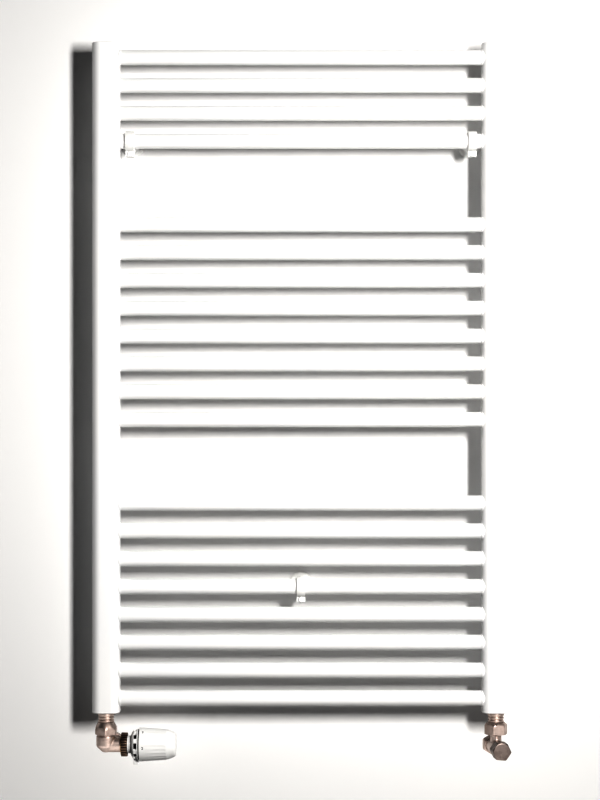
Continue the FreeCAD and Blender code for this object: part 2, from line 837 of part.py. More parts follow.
def make_thermostatic_body():
    """The cast body: up to the tail, right to the head and back to the pipe."""
    body = new_body("thermostatic_body")
    revolve(body, [(
        ("0", "body_bottom"), ("cone_foot_radius", "body_bottom"), ("barrel_radius", "barrel_cone"),
        ("barrel_radius", "barrel_top"), ("spigot_radius", "barrel_top"), ("spigot_radius", "spigot_top"),
        ("0", "spigot_top"),
    )])
    round_bar(body, "YZ_Plane", "branch_radius", "branch_length")
    pipe_socket(body, "pipe_branch_shift")
    revolve(body, [(
        ("-seat_passage", "0"), ("-seat_passage", "seat_radius"), ("seat_place", "seat_radius"),
        ("seat_place", "chamber_radius"), ("branch_length + overcut", "chamber_radius"),
        ("branch_length + overcut", "0"),
    )], cut=True, axis="H_Axis")
    round_bar(body, "XY_Plane", "water_radius", "spigot_top + overcut", x="-water_shift", cut=True)
    round_bar(body, "XZ_Plane", "water_radius", "pipe_thread_length", x="pipe_branch_shift", cut=True)
    place(body, left_valve_place())


def make_valve_insert():
    """The brass insert that guides the stem; its flange carries the head's thread."""
    bore = "pin_radius + pin_gap"
    outline = (
        (bore, "insert_nose"),
        ("insert_nose_radius", "insert_nose"),
        ("insert_nose_radius", "insert_flange"),
        ("insert_flange_radius", "insert_flange"),
        ("insert_flange_radius", "insert_end"),
        (bore, "insert_end"),
        (bore, "insert_cavity_end"),
        ("insert_cavity_radius", "insert_cavity_end"),
        ("insert_cavity_radius", "insert_cavity_start"),
        (bore, "insert_cavity_start"),
    )
    body = turned("valve_insert", outline)
    place(body, left_valve_place(), *ALONG_X)


def make_valve_stem():
    """The stem, with the boss that carries the disc and the collar that its spring pushes."""
    outline = (
        ("0", "disc_face + disc_thickness"),
        ("stem_boss_radius", "disc_face + disc_thickness"),
        ("stem_boss_radius", "disc_face + disc_thickness + stem_boss"),
        ("pin_radius", "disc_face + disc_thickness + stem_boss"),
        ("pin_radius", "pin_collar"),
        ("pin_collar_radius", "pin_collar"),
        ("pin_collar_radius", "pin_collar + pin_collar_thickness"),
        ("pin_radius", "pin_collar + pin_collar_thickness"),
        ("pin_radius", "pin_end"),
        ("0", "pin_end"),
    )
    body = turned("valve_stem", outline)
    place(body, left_valve_place(), *ALONG_X)


def make_valve_disc():
    """The rubber disc that closes the seat."""
    outline = (
        ("0", "disc_face"),
        ("disc_radius - disc_chamfer", "disc_face"),
        ("disc_radius", "disc_face + disc_chamfer"),
        ("disc_radius", "disc_face + disc_thickness"),
        ("0", "disc_face + disc_thickness"),
    )
    body = turned("valve_disc", outline)
    place(body, left_valve_place(), *ALONG_X)


def make_return_spring():
    """A coil swept along a helix, between the insert's floor and the stem's collar."""
    turns = size("spring_turns")
    height = size("spring_height")
    radius = size("spring_radius")
    helix = Part.makeHelix(height / turns, height, radius)
    section = Part.Wire(Part.makeCircle(size("spring_wire"), VECTOR(radius, 0, 0), VECTOR(0, 1, 0)))
    coil = Part.Wire(helix).makePipeShell([section], True, True)
    feature = doc.addObject("Part::Feature", "return_spring")
    feature.Shape = Part.makeSolid(coil) if coil.ShapeType == "Shell" else coil
    feature.Label = "return_spring"
    place(feature, left_valve_place("spring_start"), *ALONG_X)
    pieces.append(feature)


def make_coupling_ring():
    """The ring that clamps the head to the insert's thread."""
    outline = (
        ("ring_thread_radius", "ring_start"),
        ("ring_radius", "ring_start"),
        ("ring_radius", "ring_end"),
        ("ring_lip_radius", "ring_end"),
        ("ring_lip_radius", "ring_thread_end"),
        ("ring_thread_radius", "ring_thread_end"),
    )
    body = turned("coupling_ring", outline)
    place(body, left_valve_place(), *ALONG_X)


def make_head_base():
    """The head's fixed base: neck, vented skirt, catch tab and the guide inside the handle."""
    body = new_body("head_base")
    revolve(body, [(
        ("base_pin_hole", "neck_start"),
        ("neck_flange_radius", "neck_start"),
        ("neck_flange_radius", "neck_flange_end"),
        ("neck_radius", "neck_flange_end"),
        ("neck_radius", "neck_end"),
        ("rim_radius", "neck_end"),
        ("skirt_step_radius", "rim_end"),
        ("skirt_radius", "skirt_end - skirt_band"),
        ("skirt_radius", "skirt_end"),
        ("skirt_radius - skirt_wall", "skirt_end"),
        ("skirt_radius - skirt_wall", "skirt_end - skirt_lip"),
        ("guide_radius", "guide_start"),
        ("guide_radius", "guide_end"),
        ("base_bore", "guide_end"),
        ("base_bore", "base_floor"),
        ("base_pin_hole", "base_floor"),
    )])
    slot = new_sketch(body, "YZ_Plane", "slot_floor_radius")
    draw_outline(slot, rectangle("-slot_width / 2", "slot_width / 2", "slot_start", "slot_end"))
    cut = extrude(body, slot, "slot_reach", cut=True)
    pattern = body.newObject("PartDesign::PolarPattern", "slots")
    pattern.Originals = [cut]
    pattern.Axis = (slot, ["V_Axis"])
    pattern.Angle = 360
    bind(pattern, "Occurrences", "slot_count")
    body.Tip = pattern
    doc.recompute()
    tab = new_sketch(body, "YZ_Plane", "tab_root")
    draw_outline(tab, rectangle("-tab_width / 2", "tab_width / 2", "skirt_end - tab_length", "skirt_end"))
    extrude(body, tab, "tab_reach - tab_root")
    place(body, left_valve_place(), *ALONG_X)


def make_sensor_capsule():
    """The thermostat's capsule: it slides in the guide and presses on the stem."""
    outline = (
        ("0", "capsule_start"),
        ("capsule_radius - capsule_chamfer", "capsule_start"),
        ("capsule_radius", "capsule_start + capsule_chamfer"),
        ("capsule_radius", "capsule_cap"),
        ("capsule_cap_radius", "capsule_cap"),
        ("capsule_cap_radius", "capsule_end - capsule_chamfer"),
        ("capsule_cap_radius - capsule_chamfer", "capsule_end"),
        ("0", "capsule_end"),
    )
    body = turned("sensor_capsule", outline)
    place(body, left_valve_place(), *ALONG_X)


def make_handle():
    """The turning handle, a tapered cup over the guide and the capsule."""
    outline = (
        ("handle_mouth_radius - handle_wall", "handle_start"),
        ("handle_mouth_radius", "handle_start"),
        ("handle_waist_radius", "handle_waist"),
        ("handle_shoulder_radius", "handle_shoulder"),
        ("handle_end_radius", "handle_end"),
        ("0", "handle_end"),
        ("0", "handle_end - handle_wall"),
        ("handle_end_radius - handle_wall", "handle_end - handle_wall"),
        ("handle_waist_radius - handle_wall", "handle_waist"),
    )
    body = turned("handle", outline)
    place(body, left_valve_place(), *ALONG_X)


def swung(along_front):
    """A point on the lockshield valve's front axis, which is swung about the tail's axis."""
    return (
        f"collector_spacing / 2 + ({along_front}) * sin(lockshield_swing * 1 deg)",
        f"axis_depth - ({along_front}) * cos(lockshield_swing * 1 deg)",
        "right_axis_height",
    )


def place_swung(thing, turn=(0, 0, 1), angle=0):
    """Put a piece of the lockshield valve at its centre, swung about the upright axis."""
    place(thing, swung("0"))
    swing = FreeCAD.Rotation(VECTOR(0, 0, 1), size("lockshield_swing"))
    thing.Placement.Rotation = swing.multiply(FreeCAD.Rotation(VECTOR(*turn), angle))


def make_lockshield_body():
    """The cast body: up to the tail, front to the spindle and back to the pipe."""
    body = new_body("lockshield_body")
    revolve(body, [(
        ("0", "0"), ("stalk_radius", "0"), ("stalk_radius", "stalk_end"),
        ("spigot_radius", "stalk_flare_end"),
        ("spigot_radius", "left_axis_height - right_axis_height + spigot_top"),
        ("0", "left_axis_height - right_axis_height + spigot_top"),
    )])
    round_bar(body, "XZ_Plane", "lock_barrel_radius", "barrel_front", towards=-1)
    round_bar(body, "XZ_Plane", "lock_thread_radius", "lock_thread_end", towards=-1)
    pipe_socket(body, "0")
    round_bar(body, "XY_Plane", "water_radius", "2 * spigot_top", cut=True)
    round_bar(body, "XZ_Plane", "lock_seat_radius", "pipe_thread_length", cut=True)
    round_bar(body, "XZ_Plane", "lock_chamber_radius", "gland_start + lock_seat_place",
              start="-gland_start", cut=True)
    round_bar(body, "XZ_Plane", "spindle_radius + spindle_gap", "lock_thread_end + overcut",
              towards=-1, cut=True)
    place_swung(body)


def make_lockshield_spindle():
    """The spindle, its own +Z to the front, with a hexagon socket for the key."""
    body = turned("lockshield_spindle", (
        ("0", "spindle_nose"),
        ("spindle_nose_radius", "spindle_nose"),
        ("spindle_nose_radius", "spindle_start"),
        ("spindle_flange_radius", "spindle_start"),
        ("spindle_flange_radius", "spindle_flange_end"),
        ("spindle_radius", "spindle_flange_end"),
        ("spindle_radius", "spindle_end"),
        ("0", "spindle_end"),
    ))
    socket = new_sketch(body, "XY_Plane", "spindle_end")
    draw_outline(socket, hexagon("spindle_socket"))
    extrude(body, socket, "spindle_socket_depth", towards=-1, cut=True)
    place_swung(body, *ALONG_FRONT)


def make_lockshield_cone():
    """The cone that the spindle drives against its seat."""
    body = turned("lockshield_cone", (
        ("0", "lock_cone_tip"),
        ("lock_cone_tip_radius", "lock_cone_tip"),
        ("lock_cone_waist_radius", "lock_cone_waist"),
        ("lock_cone_radius", "lock_cone_shoulder"),
        ("lock_cone_radius", "lock_cone_back"),
        ("lock_cone_bore", "lock_cone_back"),
        ("lock_cone_bore", "lock_cone_floor"),
        ("0", "lock_cone_floor"),
    ))
    place_swung(body, *ALONG_FRONT)


def make_lockshield_cap():
    """The hexagonal cover that hides the spindle."""
    low = "cap_start - overcut"
    cuts = [
        (("0", low), ("cap_bore", low), ("cap_bore", "cap_floor"), ("0", "cap_floor")),
        corner_cut("cap_flats", "cap_end", -1),
    ]
    body = hex_turned("lockshield_cap", "cap_flats", "cap_start", "cap_end", cuts, turn="cap_turn")
    place_swung(body, *ALONG_FRONT)


def make_compression_nut(label):
    """The nut that presses the olive onto the pipe."""
    low = "nut_start - overcut"
    high = "nut_end + overcut"
    cuts = [
        (("0", low), ("nut_bore", low), ("nut_bore", "nut_lip"), ("pipe_radius", "nut_lip"),
         ("pipe_radius", high), ("0", high)),
        corner_cut("nut_flats", "nut_start", 1),
        corner_cut("nut_flats", "nut_end", -1),
    ]
    return hex_turned(label, "nut_flats", "nut_start", "nut_end", cuts, kept=False)


def make_olive(label):
    """The soft ring that seals the pipe."""
    return turned(label, (
        ("pipe_radius", "olive_start"),
        ("olive_edge_radius", "olive_start"),
        ("olive_radius", "(olive_start + olive_end) / 2"),
        ("olive_edge_radius", "olive_end"),
        ("pipe_radius", "olive_end"),
    ), kept=False)


def make_pipe_fittings(label, maker):
    """A ring-shaped fitting on each valve's pipe branch, as one group."""
    left = maker(label + "_left")
    right = maker(label + "_right")
    place(left, left_valve_place("pipe_branch_shift"), *ALONG_BACK)
    place_swung(right, *ALONG_BACK)
    group(label, [left, right])


def build():
    fill_sheet()
    for side, name in ((-1, "left"), (1, "right")):
        make_collector(f"collector_{name}", side)
    for number, step in enumerate(rail_steps(), start=1):
        make_rail(number, step)
    group("end_caps", [make_end_cap(side) for side in (-1, 1)])
    group("bottom_bushes", [make_bottom_bush(side) for side in (-1, 1)])
    group("rear_bosses", [make_rear_boss(side) for side in (-1, 1)])
    group("plug_seals", [make_plug_seal(side) for side in (-1, 1)])
    make_plug("blind_plug", -1, vented=False)
    make_plug("vent_plug", 1, vented=True)
    make_vent_screw()
    make_vent_outlet()
    for clip in clip_places():
        make_wall_base(*clip)
        make_clip_stem(*clip)
        make_clip_front(*clip)
    group("clip_screws", [make_clip_screw(*clip) for clip in clip_places()])
    group("set_screws", [make_set_screw(*clip) for clip in clip_places()])
    group("valve_tails", [make_tail(side) for side in (-1, 1)])
    group("union_nuts", [make_union_nut(-1, "left", 0), make_union_nut(1, "right", size("union_turn"))])
    make_thermostatic_body()
    make_valve_insert()
    make_valve_stem()
    make_valve_disc()
    make_return_spring()
    make_coupling_ring()
    make_head_base()
    make_sensor_capsule()
    make_handle()
    make_lockshield_body()
    make_lockshield_spindle()
    make_lockshield_cone()
    make_lockshield_cap()
    make_pipe_fittings("compression_nuts", make_compression_nut)
    make_pipe_fittings("olives", make_olive)
    doc.recompute()


def check():
    """Stop if any object failed, or if any piece's shape is missing or broken."""
    for thing in doc.Objects:
        if "Invalid" in thing.State or "Error" in thing.State:
            raise RuntimeError(f"{thing.Label} is {thing.State}")
    for piece in pieces:
        if piece.Shape.isNull() or not piece.Shape.isValid():
            raise RuntimeError(f"{piece.Label} has no valid shape")


def export():
    os.makedirs("parts", exist_ok=True)
    for piece in pieces:
        piece.Shape.exportStep(f"parts/{piece.Label}.step")
        box = piece.Shape.BoundBox
        print(f"{piece.Label:24s} solids {len(piece.Shape.Solids)}  volume {piece.Shape.Volume:10.1f}",
              f"x {box.XMin:7.1f} {box.XMax:7.1f}  y {box.YMin:6.1f} {box.YMax:6.1f}",
              f"z {box.ZMin:7.1f} {box.ZMax:7.1f}")
    print(len(pieces), "sub-parts")


build()
check()
export()
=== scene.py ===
# %% [markdown]
# # A ladder towel radiator with its two valves
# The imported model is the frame: it says where every part is and which body it moves with.
# This file gives those parts their finished surfaces. It reads every position from the frame,
# so a piece made here lands on the part it stands for.

# %% Load the frame
import json
import math
import bmesh
import bpy
from mathutils import Matrix, Vector

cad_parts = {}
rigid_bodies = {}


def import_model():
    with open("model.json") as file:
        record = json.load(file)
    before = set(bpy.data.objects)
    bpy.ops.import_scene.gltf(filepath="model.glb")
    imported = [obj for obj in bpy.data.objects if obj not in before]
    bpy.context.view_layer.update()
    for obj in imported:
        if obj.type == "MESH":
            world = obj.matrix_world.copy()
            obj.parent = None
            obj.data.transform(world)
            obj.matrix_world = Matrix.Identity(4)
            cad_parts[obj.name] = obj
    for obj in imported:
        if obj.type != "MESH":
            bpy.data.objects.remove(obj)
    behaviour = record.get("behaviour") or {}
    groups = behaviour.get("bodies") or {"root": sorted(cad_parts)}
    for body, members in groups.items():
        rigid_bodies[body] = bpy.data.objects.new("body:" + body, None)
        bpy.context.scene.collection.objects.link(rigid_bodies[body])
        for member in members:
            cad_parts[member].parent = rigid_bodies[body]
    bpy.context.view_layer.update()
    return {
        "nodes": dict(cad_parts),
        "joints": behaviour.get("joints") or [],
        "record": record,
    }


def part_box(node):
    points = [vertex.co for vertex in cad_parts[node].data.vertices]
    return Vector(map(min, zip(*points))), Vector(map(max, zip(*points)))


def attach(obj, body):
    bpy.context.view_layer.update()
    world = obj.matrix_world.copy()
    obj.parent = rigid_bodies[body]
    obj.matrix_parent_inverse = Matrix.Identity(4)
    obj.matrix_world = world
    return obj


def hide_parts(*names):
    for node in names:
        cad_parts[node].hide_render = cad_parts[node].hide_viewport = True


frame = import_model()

MM = 0.001
TURN = math.tau

# %% [markdown]
# ## Places read from the frame
# A radiator hangs on the wall at y = 0 and faces -Y. Each valve has one point where its axes
# cross: straight under its collector, at the height of its head or cap. The joints give the
# directions that the moving parts turn about.

# %% Places read from the frame


def middle(node):
    low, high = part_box(node)
    return (low + high) / 2


def joint_axis(name):
    return Vector(next(joint["axis"] for joint in frame["joints"] if joint["name"] == name))


RIGHTWARD = Vector((1, 0, 0))
BACKWARD = Vector((0, 1, 0))
UP = Vector((0, 0, 1))
AXIS_DEPTH = middle("rail_01").y
RADIATOR_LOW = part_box("bottom_bushes")[0].z
RADIATOR_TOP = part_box("end_caps")[1].z
COLUMN = {side: middle("collector_" + side).x for side in ("left", "right")}
LEFT_VALVE = Vector((COLUMN["left"], AXIS_DEPTH, middle("handle").z))
RIGHT_VALVE = Vector((COLUMN["right"], AXIS_DEPTH, middle("lockshield_cap").z))
LOCK_AXIS = joint_axis("lock_cap_pull").normalized()
print("left valve", LEFT_VALVE, "right valve", RIGHT_VALVE)

# %% [markdown]
# ## The camera
# A radiator is best seen square on, from about three metres, at half its height. A long
# lens keeps the uprights parallel. The camera looks along +Y, so its only settings are where
# it stands and how much of the wall it takes in.

# %% Camera
CAMERA_DISTANCE = 3.0
CAMERA_HEIGHT = -0.372
CAMERA_SHIFT = -1.4 * MM
VIEW_HEIGHT = 1144.0 * MM
SENSOR = 36.0

camera_data = bpy.data.cameras.new("camera")
camera_data.sensor_fit = "VERTICAL"
camera_data.sensor_height = SENSOR
camera_data.lens = SENSOR * CAMERA_DISTANCE / VIEW_HEIGHT
camera = bpy.data.objects.new("camera", camera_data)
bpy.context.scene.collection.objects.link(camera)
front_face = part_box("collector_left")[0].y
camera.location = (CAMERA_SHIFT, front_face - CAMERA_DISTANCE, CAMERA_HEIGHT)
camera.rotation_euler = (math.radians(90), 0, 0)
bpy.context.scene.camera = camera
print("lens", round(camera_data.lens, 1))

# %% [markdown]
# ## Shader maths in Python
# A material is a graph of nodes. Wrapping a socket in a small class lets ordinary Python
# arithmetic add the Math nodes, so a mask reads as a formula. Every other node comes from
# one method that takes the node's type, its settings and its sockets.

# %% Shader maths


class Wire:
    """A node's output that Python's operators can work on."""

    def __init__(self, shader, socket):
        self.shader = shader
        self.socket = socket

    def math(self, operation, *others):
        inputs = dict(enumerate((self, *others)))
        return self.shader.node("ShaderNodeMath", {"operation": operation}, inputs)

    def __add__(self, other):
        return self.math("ADD", other)

    def __sub__(self, other):
        return self.math("SUBTRACT", other)

    def __mul__(self, other):
        return self.math("MULTIPLY", other)

    def __rsub__(self, other):
        return (self * -1.0) + other

    __radd__ = __add__
    __rmul__ = __mul__

    def clamp(self):
        return self.math("MAXIMUM", 0.0).math("MINIMUM", 1.0)

    def ramp(self, low, high):
        """0 below low, 1 above high and a smooth step between."""
        settings = {"interpolation_type": "SMOOTHSTEP"}
        inputs = {"Value": self, "From Min": low, "From Max": high}
        return self.shader.node("ShaderNodeMapRange", settings, inputs)


class Shader:
    """One material, built from its Principled shader backwards."""

    def __init__(self, name, **constants):
        self.material = bpy.data.materials.new(name)
        self.material.use_nodes = True
        self.tree = self.material.node_tree
        self.surface = self.tree.nodes["Principled BSDF"]
        for socket, value in constants.items():
            self.surface.inputs[socket.replace("_", " ")].default_value = value

    def node(self, kind, settings=None, inputs=None, output=0):
        made = self.tree.nodes.new(kind)
        for name, value in (settings or {}).items():
            setattr(made, name, value)
        for name, value in (inputs or {}).items():
            if isinstance(value, Wire):
                self.tree.links.new(value.socket, made.inputs[name])
            else:
                made.inputs[name].default_value = value
        return Wire(self, made.outputs[output])

    def place(self, scale=(1, 1, 1), centre=(0, 0, 0)):
        """Object coordinates about a centre, in metres, stretched per axis."""
        where = self.node("ShaderNodeTexCoord", output="Object")
        moved = self.node("ShaderNodeVectorMath", {"operation": "SUBTRACT"}, {0: where, 1: centre})
        return self.node("ShaderNodeVectorMath", {"operation": "MULTIPLY"}, {0: moved, 1: scale})

    def noise(self, scale, detail=2.0, vector=None, roughness=0.5):
        inputs = {"Vector": vector or self.place(), "Scale": scale, "Detail": detail, "Roughness": roughness}
        return self.node("ShaderNodeTexNoise", inputs=inputs)

    def mix(self, mask, first, second):
        inputs = {"Factor": mask, 6: first, 7: second}
        return self.node("ShaderNodeMix", {"data_type": "RGBA"}, inputs, output=2)

    def feed(self, **sockets):
        for name, wire in sockets.items():
            self.tree.links.new(wire.socket, self.surface.inputs[name.replace("_", " ")])
        return self

    def bump(self, height, strength, depth):
        """Relief of a given depth, in metres, fed to the surface's normal."""
        inputs = {"Height": height, "Strength": strength, "Distance": depth}
        return self.feed(Normal=self.node("ShaderNodeBump", inputs=inputs))


print("shader helpers ready")

# %% [markdown]
# ## Powder-coated steel
# The rails and collectors are sprayed with powder and baked. The powder flows out but never
# quite flat: it leaves a fine orange peel, a millimetre or two across, under a clear gloss.
# The peel is a bump, and the slow change in gloss is a second, larger noise.

# %% Powder coat


def make_enamel():
    shader = Shader("enamel", Coat_Roughness=0.12, Specular_IOR_Level=0.5)
    slow = shader.noise(9.0, 3.0)
    peel = shader.noise(620.0, 2.0)
    grit = shader.noise(2600.0, 1.0)
    white = shader.mix(slow.ramp(0.3, 0.7), (0.90, 0.905, 0.91, 1), (0.925, 0.925, 0.92, 1))
    specks = grit.ramp(0.74, 0.80)
    shader.feed(
        Base_Color=shader.mix(specks * 0.25, white, (0.80, 0.80, 0.79, 1)),
        Roughness=0.27 + slow * 0.10 + peel * 0.05,
        Coat_Weight=0.35 + slow * 0.2,
    )
    return shader.bump(peel + grit * 0.25, 0.35, 0.05 * MM).material


ENAMEL = make_enamel()
print("made", ENAMEL.name)

# %% [markdown]
# ## Moulded plastics
# Two white plastics: the wall clips are matt, with the spark-eroded texture of their mould,
# and the thermostatic head is glossier. Both yellow and dull a little where fingers and dust
# reach, so their colour and gloss vary over a few centimetres.

# %% Plastics


def make_plastic(name, light, dull, gloss, grain, depth):
    shader = Shader(name, Specular_IOR_Level=0.45)
    slow = shader.noise(60.0, 3.0)
    texture = shader.noise(grain, 2.0)
    shader.feed(
        Base_Color=shader.mix(slow.ramp(0.35, 0.75), light, dull),
        Roughness=gloss + slow * 0.12 + texture * 0.06,
    )
    return shader.bump(texture, 0.4, depth).material


CLIP_PLASTIC = make_plastic("clip_plastic", (0.90, 0.90, 0.89, 1), (0.86, 0.86, 0.845, 1), 0.42, 2400.0,
                            0.04 * MM)
HEAD_PLASTIC = make_plastic("head_white", (0.91, 0.91, 0.905, 1), (0.885, 0.885, 0.875, 1), 0.24, 1500.0,
                            0.012 * MM)
GREY_PLASTIC = make_plastic("capsule", (0.30, 0.31, 0.33, 1), (0.24, 0.25, 0.27, 1), 0.45, 2000.0, 0.03 * MM)
PRINT = make_plastic("print", (0.05, 0.05, 0.055, 1), (0.08, 0.08, 0.085, 1), 0.5, 2500.0, 0.01 * MM)


def make_shade():
    """Painted shade for the unlit inside of the head: nearly black, dull and without any gleam."""
    shader = Shader("painted_shade_inside", Specular_IOR_Level=0.02)
    shader.feed(
        Base_Color=shader.mix(shader.noise(900.0), (0.006, 0.006, 0.007, 1), (0.014, 0.014, 0.015, 1)),
        Roughness=0.85 + shader.noise(1400.0) * 0.1,
    )
    return shader.material


# SHADE is painted shade: a near-black stand-in for the unlit inside of the head.
SHADE = make_shade()
print("made", *(plastic.name for plastic in (CLIP_PLASTIC, HEAD_PLASTIC, GREY_PLASTIC, PRINT, SHADE)))

# %% [markdown]
# ## Plated and bare metals
# The valves are brass castings with a matt nickel plate that lets a little of the warm brass
# through. Handling and water leave darker, duller patches. The same recipe with other colours
# makes bare brass, zinc and stainless steel, and stretched noise makes the marks of turning.

# %% Metals


def make_metal(name, bright, dark, gloss, patches, tool_marks, depth, stretch=(1, 1, 1)):
    shader = Shader(name)
    patch = shader.noise(patches, 4.0, roughness=0.6).ramp(0.38, 0.66)
    spots = shader.noise(patches * 6, 2.0).ramp(0.62, 0.74)
    marks = shader.noise(tool_marks, 2.0, vector=shader.place(stretch))
    shader.feed(
        Base_Color=shader.mix((patch * 0.75 + spots * 0.35).clamp(), bright, dark),
        Roughness=gloss + patch * 0.14 + marks * 0.10,
        Metallic=1.0 - spots * 0.25,
    )
    return shader.bump(marks, 0.5, depth).material


NICKEL = make_metal("nickel_brass", (0.56, 0.485, 0.45, 1), (0.37, 0.305, 0.275, 1), 0.36, 55.0, 900.0,
                    0.05 * MM)
TURNED_NICKEL = make_metal("turned_nickel", (0.60, 0.52, 0.48, 1), (0.42, 0.35, 0.315, 1), 0.32, 60.0, 260.0,
                           0.05 * MM, (1, 1, 14))
CAP_NICKEL = make_metal("cap_nickel", (0.25, 0.215, 0.20, 1), (0.14, 0.115, 0.105, 1), 0.34, 90.0, 1200.0,
                        0.04 * MM)
BRASS = make_metal("bare_brass", (0.80, 0.62, 0.30, 1), (0.46, 0.33, 0.15, 1), 0.22, 80.0, 900.0, 0.03 * MM)
ZINC = make_metal("zinc_screw", (0.92, 0.92, 0.92, 1), (0.80, 0.80, 0.81, 1), 0.5, 120.0, 1500.0, 0.02 * MM)
STEEL = make_metal("stainless", (0.62, 0.62, 0.63, 1), (0.50, 0.50, 0.51, 1), 0.16, 150.0, 1800.0, 0.01 * MM)
print("made", *(metal.name for metal in (NICKEL, TURNED_NICKEL, CAP_NICKEL, BRASS, ZINC, STEEL)))

# %% [markdown]
# ## Bronzed ring and rubber
# The coupling ring is dark bronze, rubbed bright on the tips of its teeth. The distance from
# the head's axis tells tip from root, so the wear is a formula on Object coordinates. Rubber
# is nearly black and dull, with a bloom of grey.

# %% Ring and rubber


def make_ring_metal():
    shader = Shader("dark_ring")
    across = shader.place((0, 1, 1), tuple(LEFT_VALVE))
    radius = shader.node("ShaderNodeVectorMath", {"operation": "LENGTH"}, {0: across}, output="Value")
    ring_radius = (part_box("coupling_ring")[1].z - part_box("coupling_ring")[0].z) / 2
    tip = radius.ramp(ring_radius - 1.1 * MM, ring_radius)
    cloud = shader.noise(160.0, 3.0)
    wear = (tip * (0.25 + cloud)).clamp()
    shader.feed(
        Base_Color=shader.mix(wear, (0.035, 0.025, 0.018, 1), (0.22, 0.16, 0.12, 1)),
        Roughness=0.50 - wear * 0.18 + cloud * 0.10,
        Metallic=0.75 + wear * 0.2,
    )
    return shader.bump(shader.noise(1400.0), 0.5, 0.04 * MM).material


def make_rubber():
    shader = Shader("rubber", Specular_IOR_Level=0.35)
    bloom = shader.noise(140.0, 3.0)
    shader.feed(
        Base_Color=shader.mix(bloom.ramp(0.4, 0.8), (0.018, 0.018, 0.019, 1), (0.07, 0.07, 0.072, 1)),
        Roughness=0.62 + bloom * 0.2,
    )
    return shader.bump(shader.noise(1800.0), 0.5, 0.04 * MM).material


RING_METAL = make_ring_metal()
RUBBER = make_rubber()
print("materials", len(bpy.data.materials))

# %% [markdown]
# ## A finish for every CAD part
# Parts that stay as the frame made them, such as the springs and stems inside the valves,
# only need their slots filled. Pieces made below replace the parts that show.

# %% Finish the CAD parts
FINISH = {
    "enamel": ENAMEL, "clip_plastic": CLIP_PLASTIC, "zinc_screw": ZINC, "nickel_brass": NICKEL,
    "bare_brass": BRASS, "dark_ring": RING_METAL, "stainless": STEEL, "rubber": RUBBER,
    "head_white": HEAD_PLASTIC, "capsule": GREY_PLASTIC,
}
SLOT = {part["node"]: part["material_slot"] for part in frame["record"]["subparts"]}

for name, node in frame["nodes"].items():
    node.data.materials.clear()
    node.data.materials.append(FINISH[SLOT[name]])
print("finished", len(SLOT), "parts")

# %% [markdown]
# ## Turning shapes on a lathe
# Most fittings are turned, so one helper spins a profile of (radius, height) about an axis.
# A rounding step first breaks each corner of the profile, because no real edge is sharp. An
# optional limit trims the radius by angle, which turns a round bar into a hexagon.

# %% Lathe


def stand(origin, axis, spin=0.0):
    """The matrix that puts local +Z along an axis at an origin."""
    turn = Vector(axis).to_track_quat("Z", "Y").to_matrix().to_4x4()
    return Matrix.Translation(origin) @ turn @ Matrix.Rotation(spin, 4, "Z")


def eased(profile, radius, steps=4):
    """The profile in millimetres with each inner corner rounded by up to the radius."""
    points = [Vector(point) for point in profile]
    out = [points[0]]
    for before, corner, after in zip(points, points[1:], points[2:]):
        back = before - corner
        ahead = after - corner
        reach = min(radius, back.length * 0.45, ahead.length * 0.45)
        start = corner + back.normalized() * reach
        end = corner + ahead.normalized() * reach
        for k in range(steps + 1):
            t = k / steps
            out.append(start * (1 - t) ** 2 + corner * 2 * t * (1 - t) + end * t * t)
    out.append(points[-1])
    return out


def finish_mesh(name, mesh, material, angle=32):
    """An object from a mesh, smooth except across edges sharper than the angle."""
    mesh.materials.append(material)
    mesh.shade_smooth()
    mesh.set_sharp_from_angle(angle=math.radians(angle))
    piece = bpy.data.objects.new(name, mesh)
    bpy.context.scene.collection.objects.link(piece)
    return piece


def skin(name, rings, closed=False):
    """A mesh through rings of points; the ends are closed, or joined to each other."""
    shape = bmesh.new()
    rows = [[shape.verts.new(point) for point in ring] for ring in rings]
    count = len(rows[0])
    pairs = list(zip(rows, rows[1:])) + ([(rows[-1], rows[0])] if closed else [])
    for low, high in pairs:
        for k in range(count):
            shape.faces.new((low[k], low[(k + 1) % count], high[(k + 1) % count], high[k]))
    if not closed:
        shape.faces.new(list(reversed(rows[0])))
        shape.faces.new(rows[-1])
    bmesh.ops.remove_doubles(shape, verts=shape.verts, dist=1e-6)
    bmesh.ops.dissolve_degenerate(shape, edges=shape.edges, dist=1e-7)
    bmesh.ops.recalc_face_normals(shape, faces=shape.faces)
    mesh = bpy.data.meshes.new(name)
    shape.to_mesh(mesh)
    shape.free()
    return mesh


def lathe(name, profile, matrix, material, segments=96, limit=None, bore=False, angle=32):
    """Spin a profile in millimetres; bore says that the profile closes on itself round a hole."""
    rings = []
    for radius, height in profile:
        ring = []
        for k in range(segments):
            theta = TURN * k / segments
            reach = min(radius, limit(theta, height)) if limit else radius
            point = Vector((reach * math.cos(theta), reach * math.sin(theta), height)) * MM
            ring.append(matrix @ point)
        rings.append(ring)
    return finish_mesh(name, skin(name, rings, closed=bore), material, angle)


def hexagonal(flats, round_to=0.985):
    """The limit that cuts a hexagon out of a bar, its corners a little rounded."""
    def limit(theta, height):
        within = (theta % (TURN / 6)) - TURN / 12
        return min(flats / 2 / math.cos(within), flats / math.sqrt(3) * round_to)

    return limit


def spread(profile, count):
    """The same profile with its long runs cut up, so that a limit can bend them."""
    out = [Vector(profile[0])]
    for start, end in zip(profile, profile[1:]):
        start, end = Vector(start), Vector(end)
        out += [start.lerp(end, (k + 1) / count) for k in range(count)]
    return out


